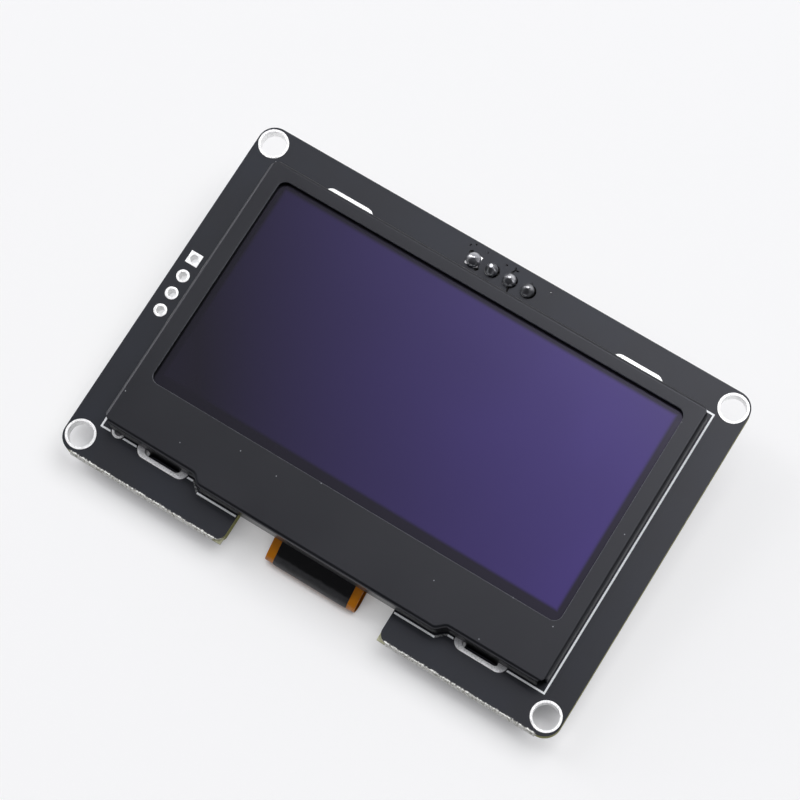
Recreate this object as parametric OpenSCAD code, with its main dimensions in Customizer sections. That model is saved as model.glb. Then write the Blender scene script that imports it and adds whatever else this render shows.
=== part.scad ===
// Graphic OLED display module: a glass panel in a folded steel bezel, carried on a printed circuit board.
// The display faces +Z. The origin is the centre of the four mounting holes, on the back face of the board.
// +X runs along the long side and +Y points away from the flex cable. Sizes are in millimetres.

/* [Circuit board] */
// Width of board beyond each side of the panel
board_side = 4.45; // [4.4:0.05:10]
// Height of board beyond the panel's upper and lower edges, on average
board_end = 5.4; // [5.35:0.05:10]
// Thickness of the board
board_t = 1.6; // [1:0.1:2.4]
// Radius of the board's four corners
board_corner_r = 2.2; // [0.5:0.1:3]
// How far the board's centre lies below the middle of its mounting holes
board_drop = 0.1; // [0:0.05:0.5]
// Width of the cut-out that lets the flex cable through
notch_w = 21.9; // [16:0.1:30]
// Radius of the cut-out's corners at the board's edge
notch_mouth_r = 1.2; // [0.4:0.1:2]
// Radius that the router leaves in the cut-out's inner corners
notch_inner_r = 0.8; // [0.4:0.1:1.5]
// How far the cut-out reaches in behind the panel's lower edge
notch_reach = 0.4; // [0:0.1:1.5]
// Depth of the scored groove left in each face along the board's lower edge
score_depth = 0.5; // [0.3:0.05:0.65]
// How far the broken web between the grooves stands out
score_web = 0.2; // [0.1:0.05:0.3]

/* [Mounting holes] */
// Distance from the mounting holes' centres to the board's sides
mount_inset_x = 2.1; // [2.1:0.05:2.5]
// Distance from the mounting holes' centres to the board's ends, on average
mount_inset_y = 2.3; // [2.2:0.05:2.6]
// Finished diameter of a mounting hole
mount_hole_d = 3.2; // [2:0.1:3.4]
// Width of the tinned ring round a mounting hole
mount_ring_w = 0.32; // [0.2:0.02:0.4]
// Thickness of the copper and tin on faces and in holes
plating_t = 0.05; // [0.03:0.01:0.1]

/* [Headers] */
// Distance between two pins of a header
pin_pitch = 2.54; // [2:0.01:2.54]
// Number of pins in each header
pin_count = 4; // [2:1:7]
// Finished diameter of a header hole
pin_hole_d = 1.0; // [0.95:0.01:1.1]
// Diameter of a header pad
pin_pad_d = 1.68; // [1.4:0.02:1.8]
// Distance from the upper header's pins to the board's upper edge
upper_row_inset = 2.35; // [2.2:0.05:2.6]
// Sideways offset of the upper header
upper_row_x = 0.23; // [-3:0.01:3]
// Distance from the unused row's holes to the board's left edge
side_row_inset = 1.8; // [1.4:0.05:2]
// Offset of the unused row's middle along the left edge
side_row_y = 0.2; // [-3:0.1:3]
// Thickness of a square header pin
pin_t = 0.64; // [0.5:0.01:0.65]
// Length of a pin below the header's plastic body
pin_reach = 6.0; // [3:0.1:9]
// Height that a pin stands above the board's front face, inside its solder
pin_stub = 0.9; // [0.7:0.05:0.95]
// Height of the header's plastic body
header_body_h = 2.54; // [2:0.02:3]
// Depth of the header's plastic body, across the row
header_body_d = 2.4; // [2:0.05:2.5]
// Height of a solder dome over the pin pads
dome_h = 1.1; // [1.05:0.05:1.2]

/* [Panel] */
// Width of the front glass
panel_w = 60.5; // [52:0.1:72]
// Height of the front glass
panel_h = 37.0; // [33:0.1:44]
// Height of the panel's centre above the middle of the mounting holes
panel_rise = 0.125; // [0:0.025:0.25]
// Thickness of the front glass
front_glass_t = 0.7; // [0.5:0.05:1]
// Thickness of the rear glass
rear_glass_t = 1.05; // [0.8:0.05:1.3]
// Height of the front glass left uncovered for the driver chip and the cable
ledge_h = 4.5; // [4:0.1:5.5]
// How far the rear glass stays inside the front glass at the sides and the top
rear_glass_inset = 0.4; // [0.1:0.1:1]
// Thickness of the resin bead between the two glasses
seal_t = 0.05; // [0.04:0.01:0.1]
// Width of the resin bead between the two glasses
seal_w = 0.9; // [0.5:0.1:1.2]
// Thickness of the lit layers on the front glass
lit_layer_t = 0.03; // [0.01:0.01:0.03]
// Margin between the lit area and each side of the window
lit_side = 0.87; // [0.5:0.01:2]
// Margin between the lit area and each end of the window, on average
lit_end = 1.055; // [0.7:0.005:2]
// Height of the lit area's centre above the window's centre
lit_rise = 0.35; // [-0.5:0.05:0.5]
// Depth of the pocket etched in the rear glass
pocket_depth = 0.3; // [0.2:0.05:0.4]
// Thickness of the drying sheet in the pocket
drying_sheet_t = 0.15; // [0.1:0.05:0.2]
// Thickness of the polarizer film
polarizer_t = 0.2; // [0.1:0.02:0.3]
// Margin of the polarizer behind each side of the window
polarizer_margin = 0.85; // [0.7:0.05:0.9]
// Thickness of the foam tape that holds the rear glass to the board
tape_t = 0.4; // [0.3:0.05:0.6]
// Width of each strip of foam tape
tape_w = 4; // [2:0.5:8]

/* [Bezel] */
// Thickness of the steel sheet
sheet_t = 0.3; // [0.2:0.05:0.4]
// Outer radius of the sheet's long bends
bend_r = 0.45; // [0.4:0.05:0.8]
// Gap between the panel and the bezel's side walls
side_gap = 0.15; // [0.1:0.05:0.2]
// Gap between the panel and the bezel's upper and lower walls
end_gap = 0.425; // [0.3:0.025:0.5]
// Thickness of the foam gasket between the polarizer and the bezel
gasket_t = 0.5; // [0.2:0.05:0.8]
// How far the gasket stays back from the window's edge
gasket_setback = 0.3; // [0.2:0.05:0.4]
// Width of the panel hidden behind the bezel at each side of the window
window_side = 1.875; // [1.8:0.025:3]
// Height of the panel hidden behind the bezel above the window
window_top = 1.125; // [1.1:0.025:2.5]
// Height of the panel hidden behind the bezel below the window
window_bottom = 6.275; // [6.1:0.025:8]
// Radius of the window's corners
window_r = 1.1; // [0.5:0.1:3]
// Distance from the bezel's sides to the lower wall's middle part, which steps out over the cable
step_inset = 14.2; // [14.2:0.1:18]
// How far the middle part of the lower wall steps out
step_depth = 1.0; // [0.8:0.05:1.2]
// Length of each slanted run at the step's ends
step_run = 1.1; // [1:0.05:1.4]
// Outer radius where the lower wall bends outwards into the step
step_in_r = 0.6; // [0.3:0.1:1]
// Outer radius where the lower wall bends back along the step
step_out_r = 0.9; // [0.6:0.1:1.1]
// How much further than its bends the sheet is cut away at each corner
corner_relief = 0.05; // [0.03:0.01:0.3]

/* [Tabs] */
// Distance from the bezel's sides to the middles of the upper tabs
upper_tab_inset = 10.25; // [8.5:0.05:12]
// Distance from the bezel's sides to the middles of the lower tabs
lower_tab_inset = 8.4; // [7.7:0.05:8.5]
// Width of a tab
tab_w = 4.4; // [3:0.1:4.6]
// Inner radius of a tab's bend
tab_bend_r = 0.2; // [0.15:0.05:0.3]
// Length of a tab's flat end behind the board
tab_flat = 1.7; // [1:0.1:2.5]
// Length of a tab slot
slot_l = 5.1; // [4.8:0.1:5.4]
// Width of a tab slot
slot_w = 1.3; // [1.2:0.05:1.5]
// Width of a slot's tinned ring at its ends
slot_ring_end = 1.0; // [0.4:0.05:1.1]
// Width of a slot's tinned ring along its sides
slot_ring_side = 0.55; // [0.3:0.05:0.7]
// How far the slots lie outside the middle of the walls
slot_offset = 0.1; // [0:0.05:0.15]
// Distance of the locating leg from the bezel's left side
leg_inset = 1.9; // [1.7:0.1:2.2]
// Width of the locating leg
leg_w = 0.7; // [0.5:0.05:0.8]
// Diameter of the locating leg's hole
leg_hole_d = 1.1; // [1:0.05:1.2]
// Diameter of the locating hole's tinned pad
leg_pad_d = 1.75; // [1.5:0.05:1.8]

/* [Printed line] */
// Gap between the bezel and the printed line round it
print_gap = 0.19; // [0.1:0.01:0.3]
// Width of the printed line
print_w = 0.24; // [0.15:0.01:0.3]
// Thickness of the print
print_t = 0.02; // [0.01:0.01:0.04]
// Space left between the print and a tinned pad
print_clearance = 0.15; // [0.1:0.05:0.3]

/* [Flex cable] */
// Width of the flex cable
flex_w = 12.5; // [10:0.5:13]
// Sideways offset of the flex cable
flex_x = 0.35; // [-2:0.05:2]
// Thickness of the flex cable
flex_t = 0.12; // [0.1:0.01:0.16]
// Length of the cable's bond on the panel's ledge
flex_bond = 1.2; // [0.8:0.1:1.4]
// Radius of the cable's first bend, below the ledge
first_bend_r = 0.6; // [0.4:0.05:0.7]
// Slope of the cable's run down past the lower wall, in degrees
down_slope = 80; // [76:1:84]
// Radius of the bend that carries the cable out under the lower wall
under_bend_r = 0.9; // [0.8:0.05:1]
// Slope of the cable's run out from under the lower wall, in degrees
out_slope = 35; // [25:1:42]
// Radius of the cable's loop
loop_r = 1.1; // [0.9:0.05:1.3]
// How far the loop stands out beyond the lower wall
loop_bulge = 2.4; // [2:0.1:3]
// Slope of the cable's run back to the board, in degrees
back_slope = 25; // [20:1:35]
// Radius of the bend that lays the cable on the board
last_bend_r = 1.5; // [1:0.1:2]
// Length of the cable's flat end on its solder pads
flex_tail = 2.4; // [1.5:0.1:3]
// Thickness of the black film on the cable
film_t = 0.05; // [0.03:0.01:0.08]
// Width of bare cable at each side of the black film
film_margin = 1.1; // [0.6:0.1:2]
// Radius of the black film's outer corners
film_corner_r = 0.5; // [0.2:0.1:1]
// Number of solder pads under the cable's end
flex_pad_count = 24; // [8:1:24]
// Distance between two of those pads
flex_pad_pitch = 0.5; // [0.4:0.1:0.5]
// Length that each pad shows past the cable's end
flex_pad_show = 0.7; // [0.3:0.1:1]

/* [Driver chip] */
// Length of the driver chip on the ledge
driver_l = 11.6; // [8:0.1:14]
// Width of the driver chip
driver_w = 1.0; // [0.7:0.1:1.2]
// Thickness of the driver chip
driver_t = 0.3; // [0.2:0.05:0.4]
// Gap between the driver chip and the cable's bond
driver_gap = 0.5; // [0.3:0.1:0.6]

/* [Hidden] */
$fn = 48;
SOLID_CUT = 0.1;             // how far a cutting shape passes a face

// Colours
mask_black = [0.13, 0.13, 0.14];
print_white = [0.90, 0.91, 0.92];
tin = [0.80, 0.80, 0.82];
bezel_black = [0.20, 0.20, 0.22];
foam_black = [0.08, 0.08, 0.09];
display_violet = [0.26, 0.22, 0.42];
flex_orange = [0.80, 0.48, 0.10];

// Levels, from the back of the board upwards
plating_top = board_t + plating_t;
tape_top = board_t + tape_t;
rear_glass_top = tape_top + rear_glass_t;
front_glass_back = rear_glass_top + seal_t;
front_glass_top = front_glass_back + front_glass_t;
polarizer_top = front_glass_top + polarizer_t;
gasket_top = polarizer_top + gasket_t;
bezel_top = gasket_top + sheet_t;
foot = plating_top;          // the bezel's walls stand on the slots' tinned rings

// Board
board_w = panel_w + 2 * board_side;
board_h = panel_h + 2 * board_end;
hole_pitch_x = board_w - 2 * mount_inset_x;
hole_pitch_y = board_h - 2 * mount_inset_y;
board_top_y = board_h / 2 - board_drop;
board_bottom_y = -board_h / 2 - board_drop;
upper_row_y = board_top_y - upper_row_inset;
side_row_x = -board_w / 2 + side_row_inset;

// Panel
panel_bottom = panel_rise - panel_h / 2;
panel_top = panel_rise + panel_h / 2;
rear_glass_w = panel_w - 2 * rear_glass_inset;
rear_glass_bottom = panel_bottom + ledge_h;
rear_glass_y1 = panel_top - rear_glass_inset;
rear_glass_h = rear_glass_y1 - rear_glass_bottom;
rear_glass_y = (rear_glass_y1 + rear_glass_bottom) / 2;
window_w = panel_w - 2 * window_side;
window_h = panel_h - window_top - window_bottom;
window_rise = panel_rise + (window_bottom - window_top) / 2;
lit_w = window_w - 2 * lit_side;
lit_h = window_h - 2 * lit_end;
lit_y = window_rise + lit_rise;
polarizer_w = window_w + 2 * polarizer_margin;
polarizer_h = window_h + 2 * polarizer_margin;
notch_top_y = panel_bottom + notch_reach;

// Bezel's outline, counter-clockwise from its lower left corner
bezel_w = panel_w + 2 * (side_gap + sheet_t);
bezel_x1 = bezel_w / 2;
bezel_y0 = panel_bottom - end_gap - sheet_t;
bezel_y1 = panel_top + end_gap + sheet_t;
step_y = bezel_y0 - step_depth;
step_w = bezel_w - 2 * step_inset;
upper_tab_pitch = bezel_w - 2 * upper_tab_inset;
lower_tab_pitch = bezel_w - 2 * lower_tab_inset;
bezel_outline = [
    [-bezel_x1, bezel_y0],
    [-step_w / 2 - step_run, bezel_y0],
    [-step_w / 2, step_y],
    [step_w / 2, step_y],
    [step_w / 2 + step_run, bezel_y0],
    [bezel_x1, bezel_y0],
    [bezel_x1, bezel_y1],
    [-bezel_x1, bezel_y1]];

// Tabs and their slots: [x, y of the wall's outer face, direction of the panel's inside,
// true where the tab is folded inwards]
tab_places = [
    [-upper_tab_pitch / 2, bezel_y1, -1, true],
    [upper_tab_pitch / 2, bezel_y1, -1, true],
    [-lower_tab_pitch / 2, bezel_y0, 1, false],
    [lower_tab_pitch / 2, bezel_y0, 1, false]];
// the step's slant, and the centres of the bends at its ends, on the right side
step_angle = atan2(step_depth, step_run);
step_out_c = [step_w / 2 - step_out_r * tan(step_angle / 2), step_y + step_out_r];
step_in_c = [step_w / 2 + step_run + step_in_r * tan(step_angle / 2), bezel_y0 - step_in_r];
corner_cut = 2 * bend_r + corner_relief;
slot_ring_l = slot_l + 2 * slot_ring_end;
slot_ring_w = slot_w + 2 * slot_ring_side;
leg_x = -bezel_x1 + leg_inset;
leg_y = bezel_y0 + sheet_t / 2;
leg_reach = board_t / 2;     // the locating leg ends inside its hole

// Headers
header_top = -plating_t;     // the plastic body sits on the tinned pads behind the board
header_bottom = header_top - header_body_h;
function row(n, pitch) = [for (i = [0 : n - 1]) (i - (n - 1) / 2) * pitch];
upper_pins = [for (x = row(pin_count, pin_pitch)) [upper_row_x + x, upper_row_y]];
side_holes = [for (y = row(pin_count, pin_pitch)) [side_row_x, side_row_y + y]];

// Flex cable: worked out in a plane with u outwards (-Y) and v upwards (+Z)
wall_u = -step_y;            // outer face of the lower wall's middle part
under_rise = 0.4;            // how far above the wall's foot the bend under it is centred
ledge_v = front_glass_back - flex_t / 2;
tail_v = -plating_t - flex_t / 2;
under_u = wall_u;            // centre of the bend under the wall
under_v = foot + under_rise;
down_start = [under_u - under_bend_r * sin(down_slope), under_v - under_bend_r * cos(down_slope)];
down_run = (ledge_v - first_bend_r * (1 - cos(down_slope)) - down_start.y) / sin(down_slope);
first_bend_u = down_start.x - down_run * cos(down_slope) - first_bend_r * sin(down_slope);
bond_u = -panel_bottom - flex_bond;
out_start = [under_u - under_bend_r * sin(out_slope), under_v - under_bend_r * cos(out_slope)];
loop_start_u = wall_u + loop_bulge - loop_r * (1 - sin(out_slope));
out_run = (loop_start_u - out_start.x) / cos(out_slope);
loop_v = out_start.y - out_run * sin(out_slope) - loop_r * cos(out_slope);
loop_u = loop_start_u - loop_r * sin(out_slope);
back_start = [loop_u - loop_r * sin(back_slope), loop_v - loop_r * cos(back_slope)];
back_run = (tail_v - last_bend_r * (1 - cos(back_slope)) - back_start.y) / sin(back_slope);
tail_u = back_start.x - back_run * cos(back_slope) - last_bend_r * sin(back_slope);
tail_end_u = tail_u - flex_tail;
tail_end_y = -tail_end_u;
// each entry: straight run, turn after it in degrees (left is positive), radius of the turn
flex_path = [
    [first_bend_u - bond_u, -down_slope, first_bend_r],
    [down_run, down_slope - out_slope, under_bend_r],
    [out_run, -(180 - out_slope + back_slope), loop_r],
    [back_run, back_slope, last_bend_r],
    [flex_tail, 0, 0]];
film_turn = 90 - out_slope + 4;   // the film ends just past the loop's outermost line
film_path = [
    [down_run, down_slope - out_slope, under_bend_r],
    [out_run, -film_turn, loop_r]];
film_w = flex_w - 2 * film_margin;

// Components behind the board: places are [x, y, angle]
small_row_pitch = 2.7;       // distance between two capacitors beside the cable's end
small_row_gap = 3.6;         // distance from the cable's pads to the middle of that row
inductor_place = [[-19.5, 5.5, 0]];
boost_place = [[-12.2, 5.5, 90]];
diode_place = [[-19.5, 0.6, 0]];
regulator_place = [[12.5, 12.5, 90]];
capacitor_places = [
    [-12.2, 0.6, 0], [-25.2, 5.5, 90], [-25.2, 0.6, 90],
    [8.2, 12.5, 90], [16.6, 12.5, 90]];
small_row_y = tail_end_y + flex_pad_show + small_row_gap;
small_capacitor_places = [for (x = row(5, small_row_pitch)) [flex_x + x, small_row_y, 90]];
resistor_places = [
    [-8.2, 6.6, 90], [-8.2, 3.4, 90],
    [3.2, 15.4, 0], [-1.2, 15.4, 0],
    [flex_x + 10, small_row_y, 90], [flex_x - 10, small_row_y, 90],
    [22.5, 6.2, 0], [22.5, 3.6, 0]];
capacitor_size = [2.0, 1.25, 1.15];
small_part_size = [1.6, 0.8, 0.5];
small_capacitor_size = [1.6, 0.8, 0.8];
capacitor_end = 0.4;         // length of a capacitor's tinned end
small_end = 0.3;             // length of a small part's tinned end
end_skin = 0.03;             // how far a tinned end stands proud of the body
pad_extra = 0.35;            // how far a component's pads reach past it
pad_side = 0.1;              // how much wider a pad is than its part, at each side
fillet_h = 0.35;             // height of a solder fillet
inductor_side = 4.0;
inductor_h = 2.0;
inductor_chamfer = 0.7;
inductor_clip_w = 1.5;
inductor_clip_t = 0.12;
inductor_ring = [1.35, 1.6]; // inner and outer radius of the ring groove on the inductor
inductor_groove = 0.15;
chip_body = [2.9, 1.6, 1.1];
chip_standoff = 0.1;
lead_t = 0.15;
lead_w = 0.38;
lead_span = 2.8;             // over the feet of a small chip
chip_lead_pitch = 0.95;
chip_draft = 0.12;           // how far a moulded body's sides lean in
regulator_body_size = [2.9, 1.3, 1.0];
diode_body_size = [2.7, 1.6, 1.1];
diode_span = 4.0;
diode_lead_w = 0.6;
lead_foot = 0.4;             // length of a lead's foot on its pad

// ---------- general shapes ----------

function unit(v) = v / norm(v);
function outward(p, i) = let (e = unit(p[(i + 1) % len(p)] - p[i])) [e.y, -e.x];
function heading(angle) = [cos(angle), sin(angle)];
function mirrored_side(p, angle, side) = [[side * p.x, p.y], side * angle];
// a counter-clockwise outline grown by d, with mitred corners
function grow(p, d) = [for (i = [0 : len(p) - 1])
    let (a = outward(p, (i + len(p) - 1) % len(p)), b = outward(p, i))
    p[i] + d * (a + b) / (1 + a * b)];

module slab(w, h, z0, z1, y = 0, x = 0) {
    translate([x - w / 2, y - h / 2, z0])
        cube([w, h, z1 - z0]);
}

module round_rect(w, h, r) {
    square([w - 2 * r, h], center = true);
    square([w, h - 2 * r], center = true);
    for (x = [-1, 1], y = [-1, 1])
        translate([x * (w / 2 - r), y * (h / 2 - r)])
            circle(r);
}

module stadium(l, w) {
    square([l - w, w], center = true);
    for (x = [-1, 1])
        translate([x * (l - w) / 2, 0])
            circle(w / 2);
}

// lays a part behind the board: it is drawn standing on z = 0 and hangs below the tinned pads
module behind(places) {
    for (p = places)
        translate([p[0], p[1], -plating_t])
            rotate([180, 0, p[2]])
                children();
}

// plated hole: child 0 is its ring, child 1 the finished hole and child 2 the drilled hole, all flat
module plated_hole() {
    difference() {
        union() {
            for (z = [-plating_t, board_t])
                translate([0, 0, z])
                    linear_extrude(plating_t)
                        children(0);
            linear_extrude(board_t)
                children(2);
        }
        translate([0, 0, -1])
            linear_extrude(board_t + 2)
                children(1);
    }
}

// a flat strip bent along a path, drawn from side d0 to side d1 of its middle line (left is positive)
module bent_strip(path, d0, d1, i = 0) {
    if (i < len(path)) {
        run = path[i][0];
        turn = path[i][1];
        r = path[i][2];
        side = turn > 0 ? 1 : -1;
        translate([0, d0])
            square([run, d1 - d0]);
        translate([run, 0]) {
            if (turn != 0)
                translate([0, side * r])
                    sector_ring(r - side * d1, r - side * d0, abs(turn), side);
            translate([r * sin(abs(turn)), side * r * (1 - cos(turn))])
                rotate(turn)
                    bent_strip(path, d0, d1, i + 1);
        }
    }
}

// part of a ring, from straight below (side 1) or straight above (side -1) its centre, turning forwards
module sector_ring(ra, rb, angle, side) {
    r_out = max(ra, rb);
    r_in = min(ra, rb);
    steps = ceil(angle / 60);
    reach = 2 * r_out / cos(angle / steps / 2);
    start = -side * 90;
    difference() {
        intersection() {
            circle(r_out);
            polygon(concat([[0, 0]], [for (k = [0 : steps])
                reach * [cos(start + side * angle * k / steps), sin(start + side * angle * k / steps)]]));
        }
        circle(r_in);
    }
}

// ---------- circuit board and its metal ----------

module notch_shape() {
    depth = notch_top_y - board_bottom_y;
    translate([0, board_bottom_y + depth / 2])
        intersection() {
            round_rect(notch_w, depth + 2 * notch_inner_r, notch_inner_r);
            translate([0, -notch_inner_r])
                square([notch_w, depth + 2 * notch_inner_r], center = true);
        }
    translate([-notch_w / 2, board_bottom_y - 1])
        square([notch_w, 1 + notch_mouth_r]);
    for (side = [-1, 1])
        translate([side * notch_w / 2, board_bottom_y])
            difference() {
                translate([side > 0 ? 0 : -notch_mouth_r, -1])
                    square([notch_mouth_r, 1 + notch_mouth_r]);
                translate([side * notch_mouth_r, notch_mouth_r])
                    circle(notch_mouth_r);
            }
}

module at_mounting_holes() {
    for (x = [-1, 1], y = [-1, 1])
        translate([x * hole_pitch_x / 2, y * hole_pitch_y / 2])
            children();
}

module at_slots() {
    for (p = tab_places)
        translate([p[0], p[1] + p[2] * (sheet_t / 2 - slot_offset)])
            children();
}

// the broken web of a scored edge, from the cut-out's mouth to the board's corner
module score_ridge() {
    x0 = notch_w / 2 + notch_mouth_r;
    x1 = board_w / 2 - board_corner_r;
    translate([x0, board_bottom_y, 0])
        rotate([90, 0, 90])
            linear_extrude(x1 - x0)
                polygon([
                    [SOLID_CUT, 0], [0, 0], [-score_web, score_depth], [-score_web, board_t - score_depth],
                    [0, board_t], [SOLID_CUT, board_t]]);
}

module circuit_board() {
    color(mask_black) {
        score_ridge();
        mirror([1, 0, 0])
            score_ridge();
        linear_extrude(board_t)
            difference() {
                translate([0, -board_drop])
                    round_rect(board_w, board_h, board_corner_r);
                notch_shape();
                at_mounting_holes()
                    circle(mount_hole_d / 2 + plating_t);
                for (p = concat(upper_pins, side_holes))
                    translate(p)
                        circle(pin_hole_d / 2 + plating_t);
                at_slots()
                    stadium(slot_l + 2 * plating_t, slot_w + 2 * plating_t);
                translate([leg_x, leg_y])
                    circle(leg_hole_d / 2 + plating_t);
            }
    }
}

module mounting_hole_plating() {
    color(tin)
        at_mounting_holes()
            plated_hole() {
                circle(mount_hole_d / 2 + mount_ring_w);
                circle(mount_hole_d / 2);
                circle(mount_hole_d / 2 + plating_t);
            }
}

module pin_plating(square_pad) {
    plated_hole() {
        if (square_pad)
            square(pin_pad_d, center = true);
        else
            circle(pin_pad_d / 2);
        circle(pin_hole_d / 2);
        circle(pin_hole_d / 2 + plating_t);
    }
}

module header_hole_plating() {
    color(tin) {
        for (i = [0 : pin_count - 1])
            translate(upper_pins[i])
                pin_plating(i == 0);
        for (i = [0 : pin_count - 1])
            translate(side_holes[i])
                pin_plating(i == pin_count - 1);
    }
}

module slot_plating() {
    color(tin)
        at_slots()
            plated_hole() {
                stadium(slot_ring_l, slot_ring_w);
                stadium(slot_l, slot_w);
                stadium(slot_l + 2 * plating_t, slot_w + 2 * plating_t);
            }
}

module locating_hole_plating() {
    color(tin)
        translate([leg_x, leg_y])
            plated_hole() {
                circle(leg_pad_d / 2);
                circle(leg_hole_d / 2);
                circle(leg_hole_d / 2 + plating_t);
            }
}

// a printed line that follows the bezel, broken at the tinned pads and the cut-out
module printed_line() {
    color(print_white)
        translate([0, 0, board_t])
            linear_extrude(print_t)
                difference() {
                    polygon(grow(bezel_outline, print_gap + print_w));
                    polygon(grow(bezel_outline, print_gap));
                    at_slots()
                        stadium(slot_ring_l + 2 * print_clearance, slot_ring_w + 2 * print_clearance);
                    translate([leg_x, leg_y])
                        circle(leg_pad_d / 2 + print_clearance);
                    translate([-notch_w / 2 - print_clearance, board_bottom_y])
                        square([notch_w + 2 * print_clearance, notch_top_y - board_bottom_y]);
                }
}

// ---------- bezel ----------

// section of a block whose upper outer edge is rounded: [inwards, up]
module rounded_section(depth, z0, z1, r) {
    translate([0, z0])
        square([depth, z1 - r - z0]);
    translate([r, z0])
        square([depth - r, z1 - z0]);
    translate([r, z1 - r])
        circle(r);
}

// a block with its outer face at p, on the right of the way it runs
module rounded_side(p, angle, run, depth, z0, z1, r) {
    translate([p.x, p.y, 0])
        rotate([90, 0, 90 + angle])
            linear_extrude(run)
                rounded_section(depth, z0, z1, r);
}

// a block bounded by long sides, each given as a point on it and the way it runs
module block_within(sides, z0, z1, r) {
    reach = 2 * bezel_w;
    intersection_for (side = sides)
        rounded_side(side[0] - reach / 2 * heading(side[1]), side[1], reach, reach, z0, z1, r);
}

// the bezel's four straight sides
module main_block(inset, z0, z1, r) {
    block_within([
        [[0, bezel_y0 + inset], 0], [[bezel_x1 - inset, 0], 90],
        [[0, bezel_y1 - inset], 180], [[-bezel_x1 + inset, 0], 270]], z0, z1, r);
}

// the step in the lower wall: each of its bends is pressed as one short flat that touches its radius
module step_block(inset, z0, z1, r) {
    middle = [[0, step_y + inset], 0];
    back = [[0, step_y + inset + step_depth + 3 * bend_r], 180];
    flat = step_angle / 2;
    block_within(concat([middle, back], [for (turn = [flat, step_angle], side = [1, -1])
        mirrored_side(step_out_c - (step_out_r - inset) * heading(turn + 90), turn, side)]), z0, z1, r);
    block_within(concat([middle, back], [for (side = [1, -1])
        mirrored_side(step_in_c + (step_in_r + inset) * heading(flat + 90), flat, side)]), z0, z1, r);
}

// the folded sheet before its window and corners are cut
module bezel_shell() {
    difference() {
        union() {
            main_block(0, foot, bezel_top, bend_r);
            step_block(0, foot, bezel_top, bend_r);
        }
        main_block(sheet_t, foot - 1, bezel_top - sheet_t, bend_r - sheet_t);
        step_block(sheet_t, foot - 1, bezel_top - sheet_t, bend_r - sheet_t);
    }
}

// section of a tab, folded over behind the board: [towards the fold, up]
module tab_section() {
    flat_top = -plating_t;
    bend_x = sheet_t + tab_bend_r;
    bend_z = flat_top + tab_bend_r;
    translate([0, bend_z])
        square([sheet_t, foot + sheet_t - bend_z]);
    translate([bend_x, bend_z])
        difference() {
            intersection() {
                circle(tab_bend_r + sheet_t);
                translate([-bend_x, -bend_x])
                    square(bend_x);
            }
            circle(tab_bend_r);
        }
    translate([bend_x, flat_top - sheet_t])
        square([tab_flat, sheet_t]);
}

module bezel() {
    color(bezel_black) {
        difference() {
            bezel_shell();
            translate([0, window_rise, bezel_top - 2])
                linear_extrude(3)
                    round_rect(window_w, window_h, window_r);
            for (x = [-bezel_x1, bezel_x1], y = [bezel_y0, bezel_y1])
                translate([x, y, 0])
                    rotate(45)
                        cube([corner_cut * sqrt(2), corner_cut * sqrt(2), 2 * bezel_top + 2], center = true);
        }
        for (p = tab_places)
            translate([p[0] - tab_w / 2, p[1] + (p[3] ? 0 : p[2] * sheet_t), 0])
                mirror([0, (p[2] > 0) == p[3] ? 0 : 1, 0])
                    rotate([90, 0, 90])
                        linear_extrude(tab_w)
                            tab_section();
        translate([leg_x - leg_w / 2, bezel_y0, leg_reach])
            cube([leg_w, sheet_t, foot + sheet_t - leg_reach]);
    }
}

module window_gasket() {
    color(foam_black)
        translate([0, window_rise, polarizer_top])
            linear_extrude(gasket_t)
                difference() {
                    round_rect(polarizer_w, polarizer_h, window_r);
                    round_rect(window_w + 2 * gasket_setback, window_h + 2 * gasket_setback, window_r);
                }
}

// ---------- panel ----------

module polarizer() {
    color(display_violet)
        translate([0, window_rise, front_glass_top])
            linear_extrude(polarizer_t)
                round_rect(polarizer_w, polarizer_h, window_r);
}

module front_glass() {
    color([0.55, 0.60, 0.62])
        slab(panel_w, panel_h, front_glass_back, front_glass_top, panel_rise);
}

module lit_layer() {
    color([0.30, 0.26, 0.50])
        slab(lit_w, lit_h, front_glass_back - lit_layer_t, front_glass_back, lit_y);
}

module glass_seal() {
    color([0.75, 0.72, 0.60])
        difference() {
            slab(rear_glass_w, rear_glass_h, rear_glass_top, front_glass_back, rear_glass_y);
            slab(rear_glass_w - 2 * seal_w, rear_glass_h - 2 * seal_w,
                rear_glass_top - 1, front_glass_back + 1, rear_glass_y);
        }
}

module rear_glass() {
    color([0.50, 0.56, 0.58])
        difference() {
            slab(rear_glass_w, rear_glass_h, tape_top, rear_glass_top, rear_glass_y);
            slab(rear_glass_w - 2 * seal_w, rear_glass_h - 2 * seal_w,
                rear_glass_top - pocket_depth, rear_glass_top + 1, rear_glass_y);
        }
}

module drying_sheet() {
    pocket_floor = rear_glass_top - pocket_depth;
    color([0.88, 0.88, 0.86])
        slab(lit_w - 4, lit_h - 4, pocket_floor, pocket_floor + drying_sheet_t, lit_y);
}

module panel_tape() {
    color(foam_black)
        for (x = [-1, 1])
            slab(tape_w, rear_glass_h - 4, board_t, tape_top, rear_glass_y, x * (rear_glass_w / 2 - 6));
}

module driver_chip() {
    color([0.30, 0.30, 0.33])
        slab(driver_l, driver_w, front_glass_back - driver_t, front_glass_back,
            -bond_u + driver_gap + driver_w / 2, flex_x);
}

// ---------- flex cable ----------

// turns a section drawn in the u, v plane into a strip of width w
module across(w) {
    translate([flex_x + w / 2, 0, 0])
        rotate([90, 0, -90])
            linear_extrude(w)
                children();
}

module flex_cable() {
    color(flex_orange)
        across(flex_w)
            translate([bond_u, ledge_v])
                bent_strip(flex_path, -flex_t / 2, flex_t / 2);
}

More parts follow.
